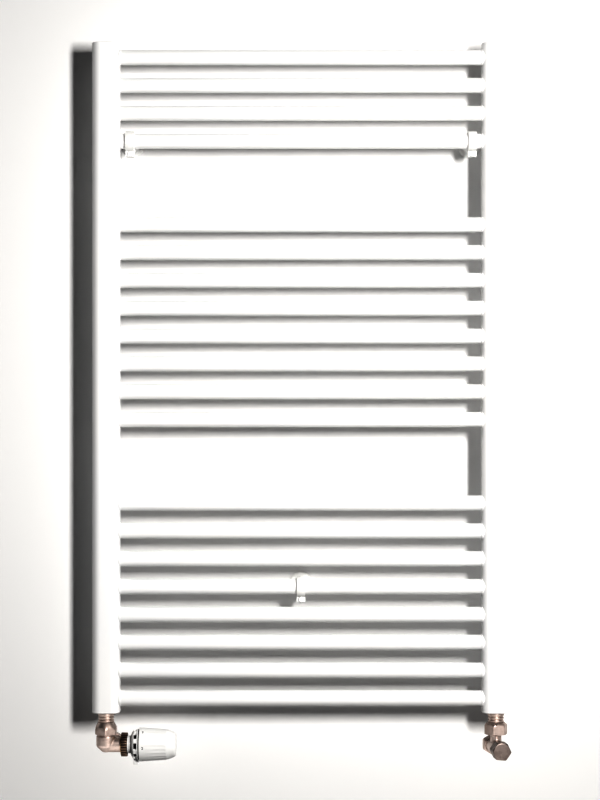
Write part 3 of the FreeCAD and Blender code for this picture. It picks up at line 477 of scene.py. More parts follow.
def one_mesh(name, pieces, material):
    """Join finished pieces of one part into a single object."""
    whole = bmesh.new()
    for piece in pieces:
        whole.from_mesh(piece.data)
        bpy.data.objects.remove(piece)
    mesh = bpy.data.meshes.new(name)
    whole.to_mesh(mesh)
    whole.free()
    mesh.materials.append(material)
    joined = bpy.data.objects.new(name, mesh)
    bpy.context.scene.collection.objects.link(joined)
    return joined


def settle(piece, body, slot, *nodes):
    """The piece rides on a body and stands for its CAD parts, which it hides; the slot is not used."""
    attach(piece, body)
    if nodes:
        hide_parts(*nodes)
    print(piece.name, "on", body, "with", len(piece.data.polygons), "faces")


print("lathe ready")

# %% [markdown]
# ## Geometry Nodes helpers
# What repeats is made by Geometry Nodes: a tree takes points, puts a shape on each and
# realises the copies. A short builder keeps the trees readable, and the result is turned
# into a plain mesh, because the finished model holds meshes only.

# %% Geometry Nodes helpers


class Recipe:
    """A Geometry Nodes tree with named inputs and one geometry output."""

    def __init__(self, name, **sizes):
        self.tree = bpy.data.node_groups.new(name, "GeometryNodeTree")
        self.tree.interface.new_socket("Geometry", in_out="INPUT", socket_type="NodeSocketGeometry")
        self.tree.interface.new_socket("Geometry", in_out="OUTPUT", socket_type="NodeSocketGeometry")
        for size in sizes:
            self.tree.interface.new_socket(size, in_out="INPUT", socket_type="NodeSocketFloat")
        self.tree.interface.new_socket("Material", in_out="INPUT", socket_type="NodeSocketMaterial")
        self.start = self.tree.nodes.new("NodeGroupInput")
        self.sizes = sizes

    def given(self, name):
        return self.start.outputs[name]

    def add(self, kind, settings=None, inputs=None, output=0):
        made = self.tree.nodes.new(kind)
        for name, value in (settings or {}).items():
            setattr(made, name, value)
        for name, value in (inputs or {}).items():
            if isinstance(value, bpy.types.NodeSocket):
                self.tree.links.new(value, made.inputs[name])
            else:
                made.inputs[name].default_value = value
        return made.outputs[output]

    def finish(self, instances):
        """Realise the copies and give them the material."""
        real = self.add("GeometryNodeRealizeInstances", inputs={"Geometry": instances})
        smooth = self.add("GeometryNodeSetShadeSmooth", inputs={"Geometry": real})
        painted = self.add("GeometryNodeSetMaterial",
                           inputs={"Geometry": smooth, "Material": self.given("Material")})
        end = self.tree.nodes.new("NodeGroupOutput")
        self.tree.links.new(painted, end.inputs[0])

    def run(self, name, points, material, angle=32):
        """A plain mesh object: the tree's result on a mesh of loose points."""
        mesh = bpy.data.meshes.new(name + "_points")
        mesh.from_pydata([tuple(point) for point in points], [], [])
        carrier = bpy.data.objects.new(name + "_carrier", mesh)
        bpy.context.scene.collection.objects.link(carrier)
        modifier = carrier.modifiers.new("recipe", "NODES")
        modifier.node_group = self.tree
        for item in self.tree.interface.items_tree:
            if item.in_out == "INPUT" and item.name in self.sizes:
                modifier[item.identifier] = float(self.sizes[item.name])
            if item.in_out == "INPUT" and item.name == "Material":
                modifier[item.identifier] = material
        graph = bpy.context.evaluated_depsgraph_get()
        made = bpy.data.meshes.new_from_object(carrier.evaluated_get(graph))
        bpy.data.objects.remove(carrier)
        made.name = name
        made.shade_smooth()
        made.set_sharp_from_angle(angle=math.radians(angle))
        piece = bpy.data.objects.new(name, made)
        bpy.context.scene.collection.objects.link(piece)
        return piece


print("recipes ready")

# %% [markdown]
# ## The rails
# Twenty steel tubes at one pitch, with two gaps for folded towels. They are copies of one
# tube, so a recipe puts a tube on each rail's middle. The points come from the frame, and so
# do the diameter and the length between the collectors.

# %% Rails
RAILS = sorted(name for name in frame["nodes"] if name.startswith("rail_"))
rail_low, rail_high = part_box(RAILS[0])

rails_recipe = Recipe("rails", Diameter=rail_high.z - rail_low.z, Length=rail_high.x - rail_low.x)
line = rails_recipe.add("GeometryNodeCurvePrimitiveLine", {"mode": "DIRECTION"}, {
    "Start": (rail_low.x, 0, 0), "Direction": (1, 0, 0), "Length": rails_recipe.given("Length")})
cuts = rails_recipe.add("GeometryNodeResampleCurve", {"mode": "COUNT"}, {"Curve": line, "Count": 12})
half = rails_recipe.add("ShaderNodeMath", {"operation": "MULTIPLY"}, {
    0: rails_recipe.given("Diameter"), 1: 0.5})
circle = rails_recipe.add("GeometryNodeCurvePrimitiveCircle", inputs={"Resolution": 64, "Radius": half})
tube = rails_recipe.add("GeometryNodeCurveToMesh", inputs={
    "Curve": cuts, "Profile Curve": circle, "Fill Caps": True})
rails_recipe.finish(rails_recipe.add("GeometryNodeInstanceOnPoints", inputs={
    "Points": rails_recipe.given("Geometry"), "Instance": tube}))
rails = rails_recipe.run("rails", [middle(name) for name in RAILS], ENAMEL)
settle(rails, "radiator", "enamel", *RAILS)

# %% [markdown]
# ## The brazed joints
# Where a rail enters a collector the brazing leaves a small bead, painted over with the rest.
# It is what stops the joint from looking cut out. A second recipe puts a ring at both ends of
# every rail.

# %% Brazed beads
BEAD = 0.9 * MM
inner_face = {"left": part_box("collector_left")[1].x, "right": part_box("collector_right")[0].x}

bead_recipe = Recipe("beads", Radius=(rail_high.z - rail_low.z) / 2 + 0.15 * MM, Bead=BEAD)
loop = bead_recipe.add("GeometryNodeCurvePrimitiveCircle", inputs={
    "Resolution": 56, "Radius": bead_recipe.given("Radius")})
section = bead_recipe.add("GeometryNodeCurvePrimitiveCircle", inputs={
    "Resolution": 10, "Radius": bead_recipe.given("Bead")})
ring = bead_recipe.add("GeometryNodeCurveToMesh", inputs={"Curve": loop, "Profile Curve": section})
upright = bead_recipe.add("GeometryNodeTransform", inputs={"Geometry": ring, "Rotation": (0, TURN / 4, 0)})
bead_recipe.finish(bead_recipe.add("GeometryNodeInstanceOnPoints", inputs={
    "Points": bead_recipe.given("Geometry"), "Instance": upright}))
bead_points = [Vector((inner_face[side], AXIS_DEPTH, middle(name).z)) for name in RAILS for side in COLUMN]
beads = bead_recipe.run("brazed_beads", bead_points, ENAMEL, angle=60)
settle(beads, "radiator", "enamel")

# %% [markdown]
# ## The collectors
# Each upright is a tube with a wide, soft front and tighter corners behind. Its section is
# four arcs joined by straight runs. The tube is the section at several heights; the ends are
# drawn in a little at a time, which rounds the edge of the end cap.

# %% Collectors
FRONT_RADIUS = 13.0
BACK_RADIUS = 4.0
ARC_STEPS = 12


def section_points(side, height, inset):
    """The collector's outline at a height, drawn in by an inset, both in millimetres."""
    low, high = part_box("collector_" + side)
    centre = (low + high) / 2
    half_width = (high.x - low.x) / 2 / MM
    half_depth = (high.y - low.y) / 2 / MM
    ring = []
    for x_side, y_side, radius, first in (
        (1, -1, FRONT_RADIUS, -90), (1, 1, BACK_RADIUS, 0),
        (-1, 1, BACK_RADIUS, 90), (-1, -1, FRONT_RADIUS, 180),
    ):
        for k in range(ARC_STEPS + 1):
            angle = math.radians(first + 90 * k / ARC_STEPS)
            reach = radius - inset
            x = x_side * (half_width - radius) + reach * math.cos(angle)
            y = y_side * (half_depth - radius) + reach * math.sin(angle)
            ring.append(Vector((centre.x + x * MM, centre.y + y * MM, height)))
    return ring


def make_column(side):
    body_low = RADIATOR_LOW + 3.0 * MM
    body_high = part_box("collector_" + side)[1].z
    cap_edge = 1.4
    steps = 6
    angles = [TURN / 4 * k / steps for k in range(steps + 1)]
    rounding = [(cap_edge * (1 - math.cos(angle)), cap_edge * (1 - math.sin(angle))) for angle in angles]
    tube_levels = [(body_low, 0.35), (body_low + 0.4 * MM, 0.0)]
    tube_levels += [(body_low + (body_high - body_low) * k / 24, 0.0) for k in range(1, 24)]
    tube_levels += [(body_high - 0.4 * MM, 0.0), (body_high, 0.35)]
    cap_levels = [(body_high, 0.35), (body_high + 0.3 * MM, 0.1)]
    cap_levels += [(RADIATOR_TOP - drop * MM, inset) for inset, drop in rounding]
    foot_levels = [(RADIATOR_LOW + drop * MM, inset) for inset, drop in reversed(rounding)]
    foot_levels += [(body_low - 0.3 * MM, 0.1), (body_low, 0.35)]
    made = []
    for label, levels in (("tube", tube_levels), ("cap", cap_levels), ("foot", foot_levels)):
        rings = [section_points(side, height, inset) for height, inset in levels]
        made.append(finish_mesh(f"{label}_{side}", skin(label, rings), ENAMEL, angle=40))
    return made


parts = {side: make_column(side) for side in COLUMN}
for side, (tube_piece, cap_piece, foot_piece) in parts.items():
    tube_piece.name = f"column_{side}"
    settle(tube_piece, "radiator", "enamel", f"collector_{side}")
caps = one_mesh("column_caps", [parts[side][1] for side in COLUMN], ENAMEL)
feet = one_mesh("column_feet", [parts[side][2] for side in COLUMN], ENAMEL)
settle(caps, "radiator", "enamel", "end_caps")
settle(feet, "radiator", "enamel", "bottom_bushes")

# %% [markdown]
# ## Moulded and machined parts taken from the frame
# The clips, plugs and screws already have their true shape in the frame, but its edges are
# knife sharp. A copy of each, merged and bevelled, catches the light along its edges as the
# real moulding does. The frame's own mesh is left alone.

# %% Edge-broken copies


def broken_edges(node, width, material=None, segments=3):
    """A copy of a CAD part with its sharp edges rounded by a width in millimetres."""
    source = frame["nodes"][node].data
    shape = bmesh.new()
    shape.from_mesh(source)
    bmesh.ops.remove_doubles(shape, verts=shape.verts, dist=2e-6)
    bmesh.ops.dissolve_limit(shape, angle_limit=math.radians(1.0), verts=shape.verts, edges=shape.edges)
    mesh = bpy.data.meshes.new(node + "_finished")
    shape.to_mesh(mesh)
    shape.free()
    piece = bpy.data.objects.new(node + "_finished", mesh)
    bpy.context.scene.collection.objects.link(piece)
    bevel = piece.modifiers.new("bevel", "BEVEL")
    bevel.width = width * MM
    bevel.segments = segments
    bevel.limit_method = "ANGLE"
    bevel.angle_limit = math.radians(38)
    bevel.use_clamp_overlap = True
    graph = bpy.context.evaluated_depsgraph_get()
    made = bpy.data.meshes.new_from_object(piece.evaluated_get(graph))
    bpy.data.objects.remove(piece)
    made.materials.clear()
    return finish_mesh(node + "_finished", made, material or FINISH[SLOT[node]], angle=30)


SOFT_EDGES = {
    "wall_base_upper_left": 0.8, "wall_base_upper_right": 0.8, "wall_base_lower": 0.8,
    "clip_stem_upper_left": 0.9, "clip_stem_upper_right": 0.9, "clip_stem_lower": 0.9,
    "clip_front_upper_left": 1.2, "clip_front_upper_right": 1.2, "clip_front_lower": 1.2,
    "clip_screws": 0.25, "rear_bosses": 0.5, "blind_plug": 0.5, "vent_plug": 0.4,
}
for node, width in SOFT_EDGES.items():
    settle(broken_edges(node, width), "radiator", SLOT[node], node)

# %% [markdown]
# ## Valve tails
# A tail is screwed into the foot of each collector. What shows of it is a run of turned
# rings: a collar against the collector, then two more rings down to the nut. A loop writes a
# groove and a ring for every pitch, so their number and spacing are easy to change.

# %% Tails
TAIL_COLLAR = 4.0
RING_COUNT = 2
RING_PITCH = 4.4


def tail_profile():
    profile = [(7.0, 11.0), (9.9, 11.0), (9.9, 0.0), (11.7, -0.05), (11.7, -TAIL_COLLAR)]
    for k in range(RING_COUNT):
        start = -TAIL_COLLAR - k * RING_PITCH
        profile += [(10.0, start - 0.5), (10.0, start - 1.5), (11.3, start - 2.0)]
        profile += [(11.3, start - RING_PITCH + 0.1)]
    return profile + [(9.8, -13.0), (9.8, -23.0), (12.3, -23.1), (12.3, -26.9), (7.0, -26.9), (7.0, 11.0)]


def foot_of(side):
    return Vector((COLUMN[side], AXIS_DEPTH, RADIATOR_LOW))


tails = [lathe("tail_" + side, eased(tail_profile(), 0.25, 3), stand(foot_of(side), UP), TURNED_NICKEL,
               bore=True)
         for side in COLUMN]
settle(one_mesh("valve_tails_finished", tails, TURNED_NICKEL), "radiator", "nickel_brass", "valve_tails")

# %% [markdown]
# ## Union nuts
# The nut that clamps each valve to its tail is a hexagon with a cone on top, long on the left
# nut and short on the right one. The cone is part of the profile, and the hexagon trims it,
# so the curved corner chamfers appear where the two meet, as on a turned hexagonal bar.

# %% Union nuts
UNION_FLATS = 30.0
CORNER_FRONT = 30
UNION_TURN = 44
UNION_SPIN = {"left": math.radians(CORNER_FRONT), "right": math.radians(CORNER_FRONT + UNION_TURN)}
UNION_CONE = {"left": [(11.5, -13.6), (17.6, -24.2)], "right": [(12.4, -13.5), (17.6, -18.4)]}


def union_nut(side):
    profile = [(9.95, -22.8), (9.95, -13.6), (10.3, -13.5), *UNION_CONE[side], (17.6, -30.0), (15.2, -31.0),
               (13.0, -31.0), (12.6, -30.6), (12.6, -22.8), (9.95, -22.8)]
    where = stand(foot_of(side), UP, UNION_SPIN[side])
    return lathe("union_" + side, spread(eased(profile, 0.3, 2), 3), where, NICKEL, segments=144,
                 limit=hexagonal(UNION_FLATS), bore=True, angle=24)


unions = [union_nut(side) for side in COLUMN]
settle(one_mesh("union_nuts_finished", unions, NICKEL), "radiator", "nickel_brass", "union_nuts")

# %% [markdown]
# ## Valve bodies
# A valve body is cast, so its branches flow into each other. The simplest way to that look is
# to place plain turned shapes through each other, wrap them in one skin with a voxel remesh
# and relax the skin, which fills the inner corners with small fillets.

# %% Cast bodies
VOXEL = 0.45 * MM
SUPPLY_SHIFT = RIGHTWARD * 10.4 * MM


def cast(name, rough_shapes, material, relax=7):
    """One relaxed skin round overlapping shapes."""
    rough = one_mesh(name + "_rough", rough_shapes, material)
    remesh = rough.modifiers.new("remesh", "REMESH")
    remesh.mode = "VOXEL"
    remesh.voxel_size = VOXEL
    smooth = rough.modifiers.new("relax", "SMOOTH")
    smooth.factor = 0.5
    smooth.iterations = relax
    graph = bpy.context.evaluated_depsgraph_get()
    made = bpy.data.meshes.new_from_object(rough.evaluated_get(graph))
    bpy.data.objects.remove(rough)
    made.materials.clear()
    return finish_mesh(name, made, material, angle=50)


def pipe_branch(origin, axis):
    """The threaded branch towards the wall, with its socket for the pipe."""
    profile = [(0, 0), (10.9, 0), (10.9, 17.3), (10.0, 17.6), (10.0, 24.0), (7.55, 24.0), (7.55, 10.0),
               (0, 10.0)]
    return lathe("branch", eased(profile, 0.3, 2), stand(origin, axis), NICKEL)


def make_left_body():
    barrel = [(0, -10.9), (5.0, -10.9), (14.0, -2.4), (14.0, 12.4), (12.5, 13.2), (12.5, 19.0), (0, 19.0)]
    branch = [(0, 0), (10.9, 0), (10.9, 21.4), (0, 21.4)]
    shapes = [
        lathe("barrel", eased(barrel, 2.2), stand(LEFT_VALVE, UP), NICKEL),
        lathe("side", eased(branch, 0.4), stand(LEFT_VALVE, RIGHTWARD), NICKEL),
        pipe_branch(LEFT_VALVE + SUPPLY_SHIFT, BACKWARD),
    ]
    return cast("thermostatic_body_finished", shapes, NICKEL)


def make_right_body():
    stalk = [(0, 0), (8.0, 0), (8.0, 17.6), (12.5, 20.0), (12.5, 23.0), (0, 23.0)]
    barrel = [(0, -12.0), (10.9, -12.0), (10.9, 19.9), (9.8, 20.1), (9.8, 30.0), (5.1, 30.0), (5.1, 22.0),
              (0, 22.0)]
    shapes = [
        lathe("stalk", eased(stalk, 0.5), stand(RIGHT_VALVE, UP), NICKEL),
        lathe("barrel", eased(barrel, 0.4), stand(RIGHT_VALVE, LOCK_AXIS), NICKEL),
        pipe_branch(RIGHT_VALVE, -LOCK_AXIS),
    ]
    return cast("lockshield_body_finished", shapes, NICKEL, relax=5)


settle(make_left_body(), "radiator", "nickel_brass", "thermostatic_body")
settle(make_right_body(), "radiator", "nickel_brass", "lockshield_body")

# %% [markdown]
# ## Compression nuts and the lockshield cap
# Three more hexagons. The compression nuts are chamfered at both ends. The cap is closed, with
# a slightly crowned face, and hides the spindle that only the fitter turns.

# %% Nuts and cap
NUT_FLATS = 25.0
CAP_FLATS = 24.0
CAP_SPIN = math.radians(-5)
nut_profile = [(10.2, 17.8), (11.8, 17.6), (14.6, 19.2), (14.6, 31.2), (12.0, 33.0), (8.2, 33.0), (7.7, 32.5),
               (7.7, 28.5), (10.2, 28.4), (10.2, 17.8)]
nut_places = ((LEFT_VALVE + SUPPLY_SHIFT, BACKWARD), (RIGHT_VALVE, -LOCK_AXIS))
nuts = [lathe(f"nut_{k}", spread(eased(nut_profile, 0.3, 2), 3), stand(origin, axis, math.radians(CORNER_FRONT)),
              NICKEL, segments=144, limit=hexagonal(NUT_FLATS), bore=True, angle=24)
        for k, (origin, axis) in enumerate(nut_places)]
settle(one_mesh("compression_nuts_finished", nuts, NICKEL), "radiator", "nickel_brass", "compression_nuts")

cap_profile = [(0, 36.5), (10.15, 36.5), (10.15, 20.8), (10.8, 20.4), (12.6, 20.5), (14.0, 21.6),
               (14.0, 40.3), (11.6, 41.9), (6.0, 42.05), (0, 42.1)]
cap = lathe("lockshield_cap_finished", spread(eased(cap_profile, 0.5, 3), 3),
            stand(RIGHT_VALVE, LOCK_AXIS, CAP_SPIN), CAP_NICKEL, segments=144,
            limit=hexagonal(CAP_FLATS), angle=24)
settle(cap, "lock_cap", "nickel_brass", "lockshield_cap")

# %% [markdown]
# ## The coupling ring
# The ring that clamps the head to the valve is gripped by hand, so it has coarse teeth all
# round. A recipe stands a tooth on every point of a circle, and each tooth is turned to face
# outwards by the direction from the axis.

# %% Coupling ring
RING_LOW, RING_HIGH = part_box("coupling_ring")
RING_RADIUS = (RING_HIGH.z - RING_LOW.z) / 2 / MM
RING_START = (RING_LOW.x - LEFT_VALVE.x) / MM
RING_END = (RING_HIGH.x - LEFT_VALVE.x) / MM
TEETH = 28
TOOTH = 1.5

ring_root = RING_RADIUS - TOOTH
ring_profile = [(14.85, RING_START + 0.4), (15.2, RING_START), (ring_root - 0.2, RING_START),
                (ring_root + 0.2, RING_START + 0.8), (ring_root + 0.2, RING_END - 0.8),
                (ring_root - 0.2, RING_END), (13.0, RING_END), (12.6, RING_END - 0.4), (12.6, 29.9),
                (14.85, 29.9), (14.85, RING_START + 0.4)]
ring_core = lathe("ring_core", eased(ring_profile, 0.3, 2), stand(LEFT_VALVE, RIGHTWARD), RING_METAL,
                  bore=True)


def around_axis(count, radius, along, spin=0.0):
    """Points on a circle about the head's axis."""
    points = []
    for k in range(count):
        theta = spin + TURN * k / count
        offset = Vector((along, radius * math.sin(theta), radius * math.cos(theta)))
        points.append(LEFT_VALVE + offset * MM)
    return points


def outward_copies(recipe, shape):
    """Copies of a shape on the points, each with its +Z turned away from the head's axis."""
    where = recipe.add("GeometryNodeInputPosition")
    arm = recipe.add("ShaderNodeVectorMath", {"operation": "SUBTRACT"}, {0: where, 1: tuple(LEFT_VALVE)})
    flat = recipe.add("ShaderNodeVectorMath", {"operation": "MULTIPLY"}, {0: arm, 1: (0, 1, 1)})
    settings = {"axis": "Z", "pivot_axis": "X"}
    facing = recipe.add("FunctionNodeAlignRotationToVector", settings, {"Vector": flat})
    return recipe.add("GeometryNodeInstanceOnPoints", inputs={
        "Points": recipe.given("Geometry"), "Instance": shape, "Rotation": facing})


tooth_recipe = Recipe("teeth", Width=2.0 * MM, Length=(RING_END - RING_START - 0.7) * MM,
                      Height=TOOTH * 2 * MM)
tooth_size = tooth_recipe.add("ShaderNodeCombineXYZ", inputs={
    "X": tooth_recipe.given("Length"), "Y": tooth_recipe.given("Width"), "Z": tooth_recipe.given("Height")})
tooth_block = tooth_recipe.add("GeometryNodeMeshCube", inputs={"Size": tooth_size})
tooth_recipe.finish(outward_copies(tooth_recipe, tooth_block))
tooth_places = around_axis(TEETH, RING_RADIUS - TOOTH - 0.02, (RING_START + RING_END) / 2)
teeth = tooth_recipe.run("ring_teeth", tooth_places, RING_METAL, angle=30)


def bevelled(piece, width, segments=2):
    """The piece with its edges broken by a width in metres."""
    bevel = piece.modifiers.new("bevel", "BEVEL")
    bevel.width = width
    bevel.segments = segments
    graph = bpy.context.evaluated_depsgraph_get()
    made = bpy.data.meshes.new_from_object(piece.evaluated_get(graph))
    name, material = piece.name, piece.data.materials[0]
    bpy.data.objects.remove(piece)
    made.materials.clear()
    return finish_mesh(name, made, material, angle=30)


teeth = bevelled(teeth, 0.3 * MM)
coupling = one_mesh("coupling_ring_finished", [ring_core, teeth], RING_METAL)
settle(coupling, "radiator", "dark_ring", "coupling_ring")

# %% [markdown]
# ## The head's base
# The white base has a slim neck, a thin rim and a skirt with open slots that let room air
# reach the sensor. The skirt is an inner drum in painted shade, nearly black, with white bars
# standing round it, closed by a white band at the mouth, so the slots are real gaps. A small
# catch sits underneath.

# %% Head base
SKIRT_END = 46.5
SLOT_START = 40.4
SLOT_END = 44.9
SLOTS = 8
DRUM_RADIUS = 17.6
neck_profile = [(3.4, 28.8), (14.4, 28.8), (14.4, 29.7), (12.2, 29.8), (12.2, 33.4), (13.0, 34.0),
                (13.0, 34.8), (11.9, 34.9), (11.9, 35.7), (13.4, 35.8), (16.0, 36.6), (18.6, 38.2), (20.6, SLOT_START),
                (DRUM_RADIUS - 1.5, SLOT_START + 0.1), (DRUM_RADIUS - 1.5, SLOT_END - 0.1), (22.1, SLOT_END),
                (22.4, 45.3), (22.4, 46.1), (22.0, SKIRT_END), (14.0, SKIRT_END), (14.0, 66.0),
                (11.25, 66.0), (11.25, 37.5), (3.4, 37.5), (3.4, 28.8)]
neck = lathe("neck", eased(neck_profile, 0.4, 3), stand(LEFT_VALVE, RIGHTWARD), HEAD_PLASTIC, segments=128,
             bore=True)

bar_recipe = Recipe("skirt_bars", Width=6.6 * MM, Length=(SLOT_END - SLOT_START + 0.6) * MM, Height=4.2 * MM)
bar_size = bar_recipe.add("ShaderNodeCombineXYZ", inputs={
    "X": bar_recipe.given("Length"), "Y": bar_recipe.given("Width"), "Z": bar_recipe.given("Height")})
bar = bar_recipe.add("GeometryNodeMeshCube", inputs={"Size": bar_size, "Vertices Y": 5})
bar_recipe.finish(outward_copies(bar_recipe, bar))
bars = bar_recipe.run("skirt_bars", around_axis(SLOTS, 18.9, (SLOT_START + SLOT_END) / 2, TURN / SLOTS / 2),
                      HEAD_PLASTIC)
bars = bevelled(bars, 0.4 * MM, 3)

TAB_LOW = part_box("head_base")[0].z
tab_profile = [(-4.5, 39.6), (4.5, 39.6), (4.5, SKIRT_END), (-4.5, SKIRT_END)]
tab_rings = []
for depth in (20.0, (LEFT_VALVE.z - TAB_LOW) / MM):
    tab_rings.append([LEFT_VALVE + Vector((along, across, -depth)) * MM for across, along in tab_profile])
tab = bevelled(finish_mesh("tab", skin("tab", tab_rings), HEAD_PLASTIC), 0.9 * MM, 4)
settle(one_mesh("head_base_finished", [neck, bars, tab], HEAD_PLASTIC), "radiator", "head_white", "head_base")

# %% [markdown]
# ## Painted shade inside the head
# Through the slots, behind the rim and in the gap before the handle one sees the unlit inside
# of the head. Three drums in painted shade, nearly black, stand just under the white skin there,
# so the openings read as black from every side however strong the light is.

# %% Painted shade inside the head


def band(name, radius, start, end):
    """A short tube in painted shade about the head's axis."""
    inner = radius - 0.8
    profile = [(inner, start), (radius, start), (radius, end), (inner, end), (inner, start)]
    return lathe(name, profile, stand(LEFT_VALVE, RIGHTWARD), SHADE, bore=True)


# Painted shade: near-black drums behind the slots, in the rim groove and in the gap before the handle.
shade = [band("shade_slots", DRUM_RADIUS, SLOT_START - 0.2, SLOT_END + 0.2),
         band("shade_rim", 12.1, 34.7, 35.9),
         band("shade_mouth", 21.4, SKIRT_END - 0.2, 48.4)]
settle(one_mesh("head_shade", shade, SHADE), "radiator", "head_white")

# %% [markdown]
# ## The handle
# The handle is a tapered cup with a soft shoulder. Shallow flutes run along it for grip and
# fade out towards both ends: the radius dips a little with the angle, by an amount that a
# formula turns up and down along the axis.

# %% Handle
HANDLE_LOW, HANDLE_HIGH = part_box("handle")
HANDLE_START = (HANDLE_LOW.x - LEFT_VALVE.x) / MM
HANDLE_END = (HANDLE_HIGH.x - LEFT_VALVE.x) / MM
MOUTH_RADIUS = (HANDLE_HIGH.z - HANDLE_LOW.z) / 2 / MM
FLUTES = 24
FLUTE_DEPTH = 0.45
FLUTE_START = 60.0
FLUTE_END = 92.0


def grip(theta, height):
    """The handle's radius limit: flutes that come and go along the axis."""
    along = (height - FLUTE_START) / (FLUTE_END - FLUTE_START)
    fade = math.sin(math.pi * along) ** 0.7 if 0 < along < 1 else 0.0
    wave = 0.5 + 0.5 * math.cos(FLUTES * theta)
    taper = MOUTH_RADIUS - (MOUTH_RADIUS - 21.8) * (height - HANDLE_START) / (87.0 - HANDLE_START)
    return taper - FLUTE_DEPTH * fade * wave if along > 0 and height < 87.0 else 99.0


outer = eased([(MOUTH_RADIUS - 2.0, HANDLE_START + 0.2), (MOUTH_RADIUS - 0.3, HANDLE_START),
               (MOUTH_RADIUS, HANDLE_START + 0.5), (21.8, 87.0), (17.6, 98.6), (15.2, HANDLE_END - 0.2),
               (11.0, HANDLE_END - 0.6), (0, HANDLE_END - 0.6)], 2.4, 6)
inner = [(0, HANDLE_END - 2.4), (13.2, HANDLE_END - 2.4), (19.6, 87.0),
         (MOUTH_RADIUS - 2.0, HANDLE_START + 0.6)]
handle = lathe("handle_finished", spread([*map(Vector, inner), *outer], 8),
               stand(LEFT_VALVE, RIGHTWARD), HEAD_PLASTIC, segments=192, limit=grip)
settle(handle, "handle", "head_white", "handle")

# %% [markdown]
# ## The dial
# A thermostatic head carries its scale round the mouth of the handle and a fixed mark on the
# base. The figures are plain numbers, made from text, turned into a mesh and bent round the
# cone. They stand a few hundredths of a millimetre proud, like pad printing.

# %% Dial
DIAL_ALONG = 53.5
FIGURE_SIZE = 5.2 * MM
FIGURE_WEIGHT = 0.12 * MM
DIAL_STEP = math.radians(60)
DIAL_START = math.radians(-125)
handle_slope = (21.8 - MOUTH_RADIUS) / (87.0 - HANDLE_START)


def cone_point(along, theta, proud):
    radius = MOUTH_RADIUS + handle_slope * (along - HANDLE_START) + proud
    return LEFT_VALVE + Vector((along, -radius * math.cos(theta), radius * math.sin(theta))) * MM


def figure(text, theta):
    """A printed figure bent round the handle at an angle from the front."""
    curve = bpy.data.curves.new("figure", "FONT")
    curve.body = text
    curve.size = FIGURE_SIZE
    curve.offset = FIGURE_WEIGHT
    curve.align_x = "CENTER"
    curve.align_y = "CENTER"
    curve.extrude = 0.03 * MM
    holder = bpy.data.objects.new("figure", curve)
    bpy.context.scene.collection.objects.link(holder)
    graph = bpy.context.evaluated_depsgraph_get()
    mesh = bpy.data.meshes.new_from_object(holder.evaluated_get(graph))
    bpy.data.objects.remove(holder)
    for vertex in mesh.vertices:
        flat = vertex.co / MM
        turned = theta + flat.y / MOUTH_RADIUS
        vertex.co = cone_point(DIAL_ALONG + flat.x, turned, 0.03 + flat.z)
    mesh.materials.clear()
    return finish_mesh("figure", mesh, PRINT)


figures = [figure(text, DIAL_START + DIAL_STEP * k) for k, text in enumerate("012345")]
dial = one_mesh("dial_figures", figures, PRINT)
settle(dial, "handle", "head_white")

# %% [markdown]
# ## The wall, the floor and the light
# The radiator hangs on a white wall, which catches its shadow, above a pale floor. The wall
# has one face only: from behind it lets light and sight through, so the back of the radiator
# can be inspected. One narrow key lamp on the right, a little above the top rail, makes the
# crisp shadow to the left and under the rails. It is doubled: one copy lights the object and
# one lights the wall and passes the valves, so the valves stay dark and modelled against a
# clean white wall. A lamp behind lights the clips' stems, and one overhead lights the floor,
# which gives no soft light back, so that the shadows stay deep.

# %% Stage


def make_wall_paint():
    shader = Shader("wall_paint", Roughness=0.9)
    shader.feed(Base_Color=shader.mix(shader.noise(3.0), (0.86, 0.86, 0.86, 1), (0.88, 0.88, 0.875, 1)))
    output = shader.tree.nodes["Material Output"]
    clear = shader.node("ShaderNodeBsdfTransparent")
    behind = shader.node("ShaderNodeNewGeometry", output="Backfacing")
    paint = Wire(shader, shader.surface.outputs[0])
    both = shader.node("ShaderNodeMixShader", inputs={0: behind, 1: paint, 2: clear})
    shader.tree.links.new(both.socket, output.inputs["Surface"])
    return shader.material


def flat_stage(name, corners, material):
    mesh = bpy.data.meshes.new(name)
    mesh.from_pydata(corners, [], [(0, 1, 2, 3)])
    mesh.materials.append(material)
    sheet = bpy.data.objects.new(name, mesh)
    bpy.context.scene.collection.objects.link(sheet)
    return sheet


FLOOR = -1.30
FLOOR_FRONT = -5
FLOOR_BACK = 3
WALL_REACH = 4.0
WALL_TOP = 2.5
wall_paint = make_wall_paint()
floor_paint = Shader("floor_paint", Base_Color=(0.80, 0.79, 0.78, 1), Roughness=0.7).material
WALL_PLACE = 0.5 * MM
wall = flat_stage("wall", [(-WALL_REACH, WALL_PLACE, FLOOR), (WALL_REACH, WALL_PLACE, FLOOR),
                           (WALL_REACH, WALL_PLACE, WALL_TOP), (-WALL_REACH, WALL_PLACE, WALL_TOP)], wall_paint)
floor = flat_stage("floor", [(-WALL_REACH, FLOOR_FRONT, FLOOR), (WALL_REACH, FLOOR_FRONT, FLOOR),
                             (WALL_REACH, FLOOR_BACK, FLOOR), (-WALL_REACH, FLOOR_BACK, FLOOR)], floor_paint)


SPREAD = 130


def lamp(name, energy, place, width, height, color):
    """A soft rectangular lamp that points at the radiator's middle."""
    data = bpy.data.lights.new(name, "AREA")
    data.energy = energy
    data.shape = "RECTANGLE"
    data.size = width
    data.size_y = height
    data.color = color
    data.spread = math.radians(SPREAD)
    light = bpy.data.objects.new(name, data)
    bpy.context.scene.collection.objects.link(light)
    target = Vector((0, AXIS_DEPTH, CAMERA_HEIGHT))
    light.location = place
    light.rotation_euler = (light.location - target).to_track_quat("Z", "Y").to_euler()
    return light


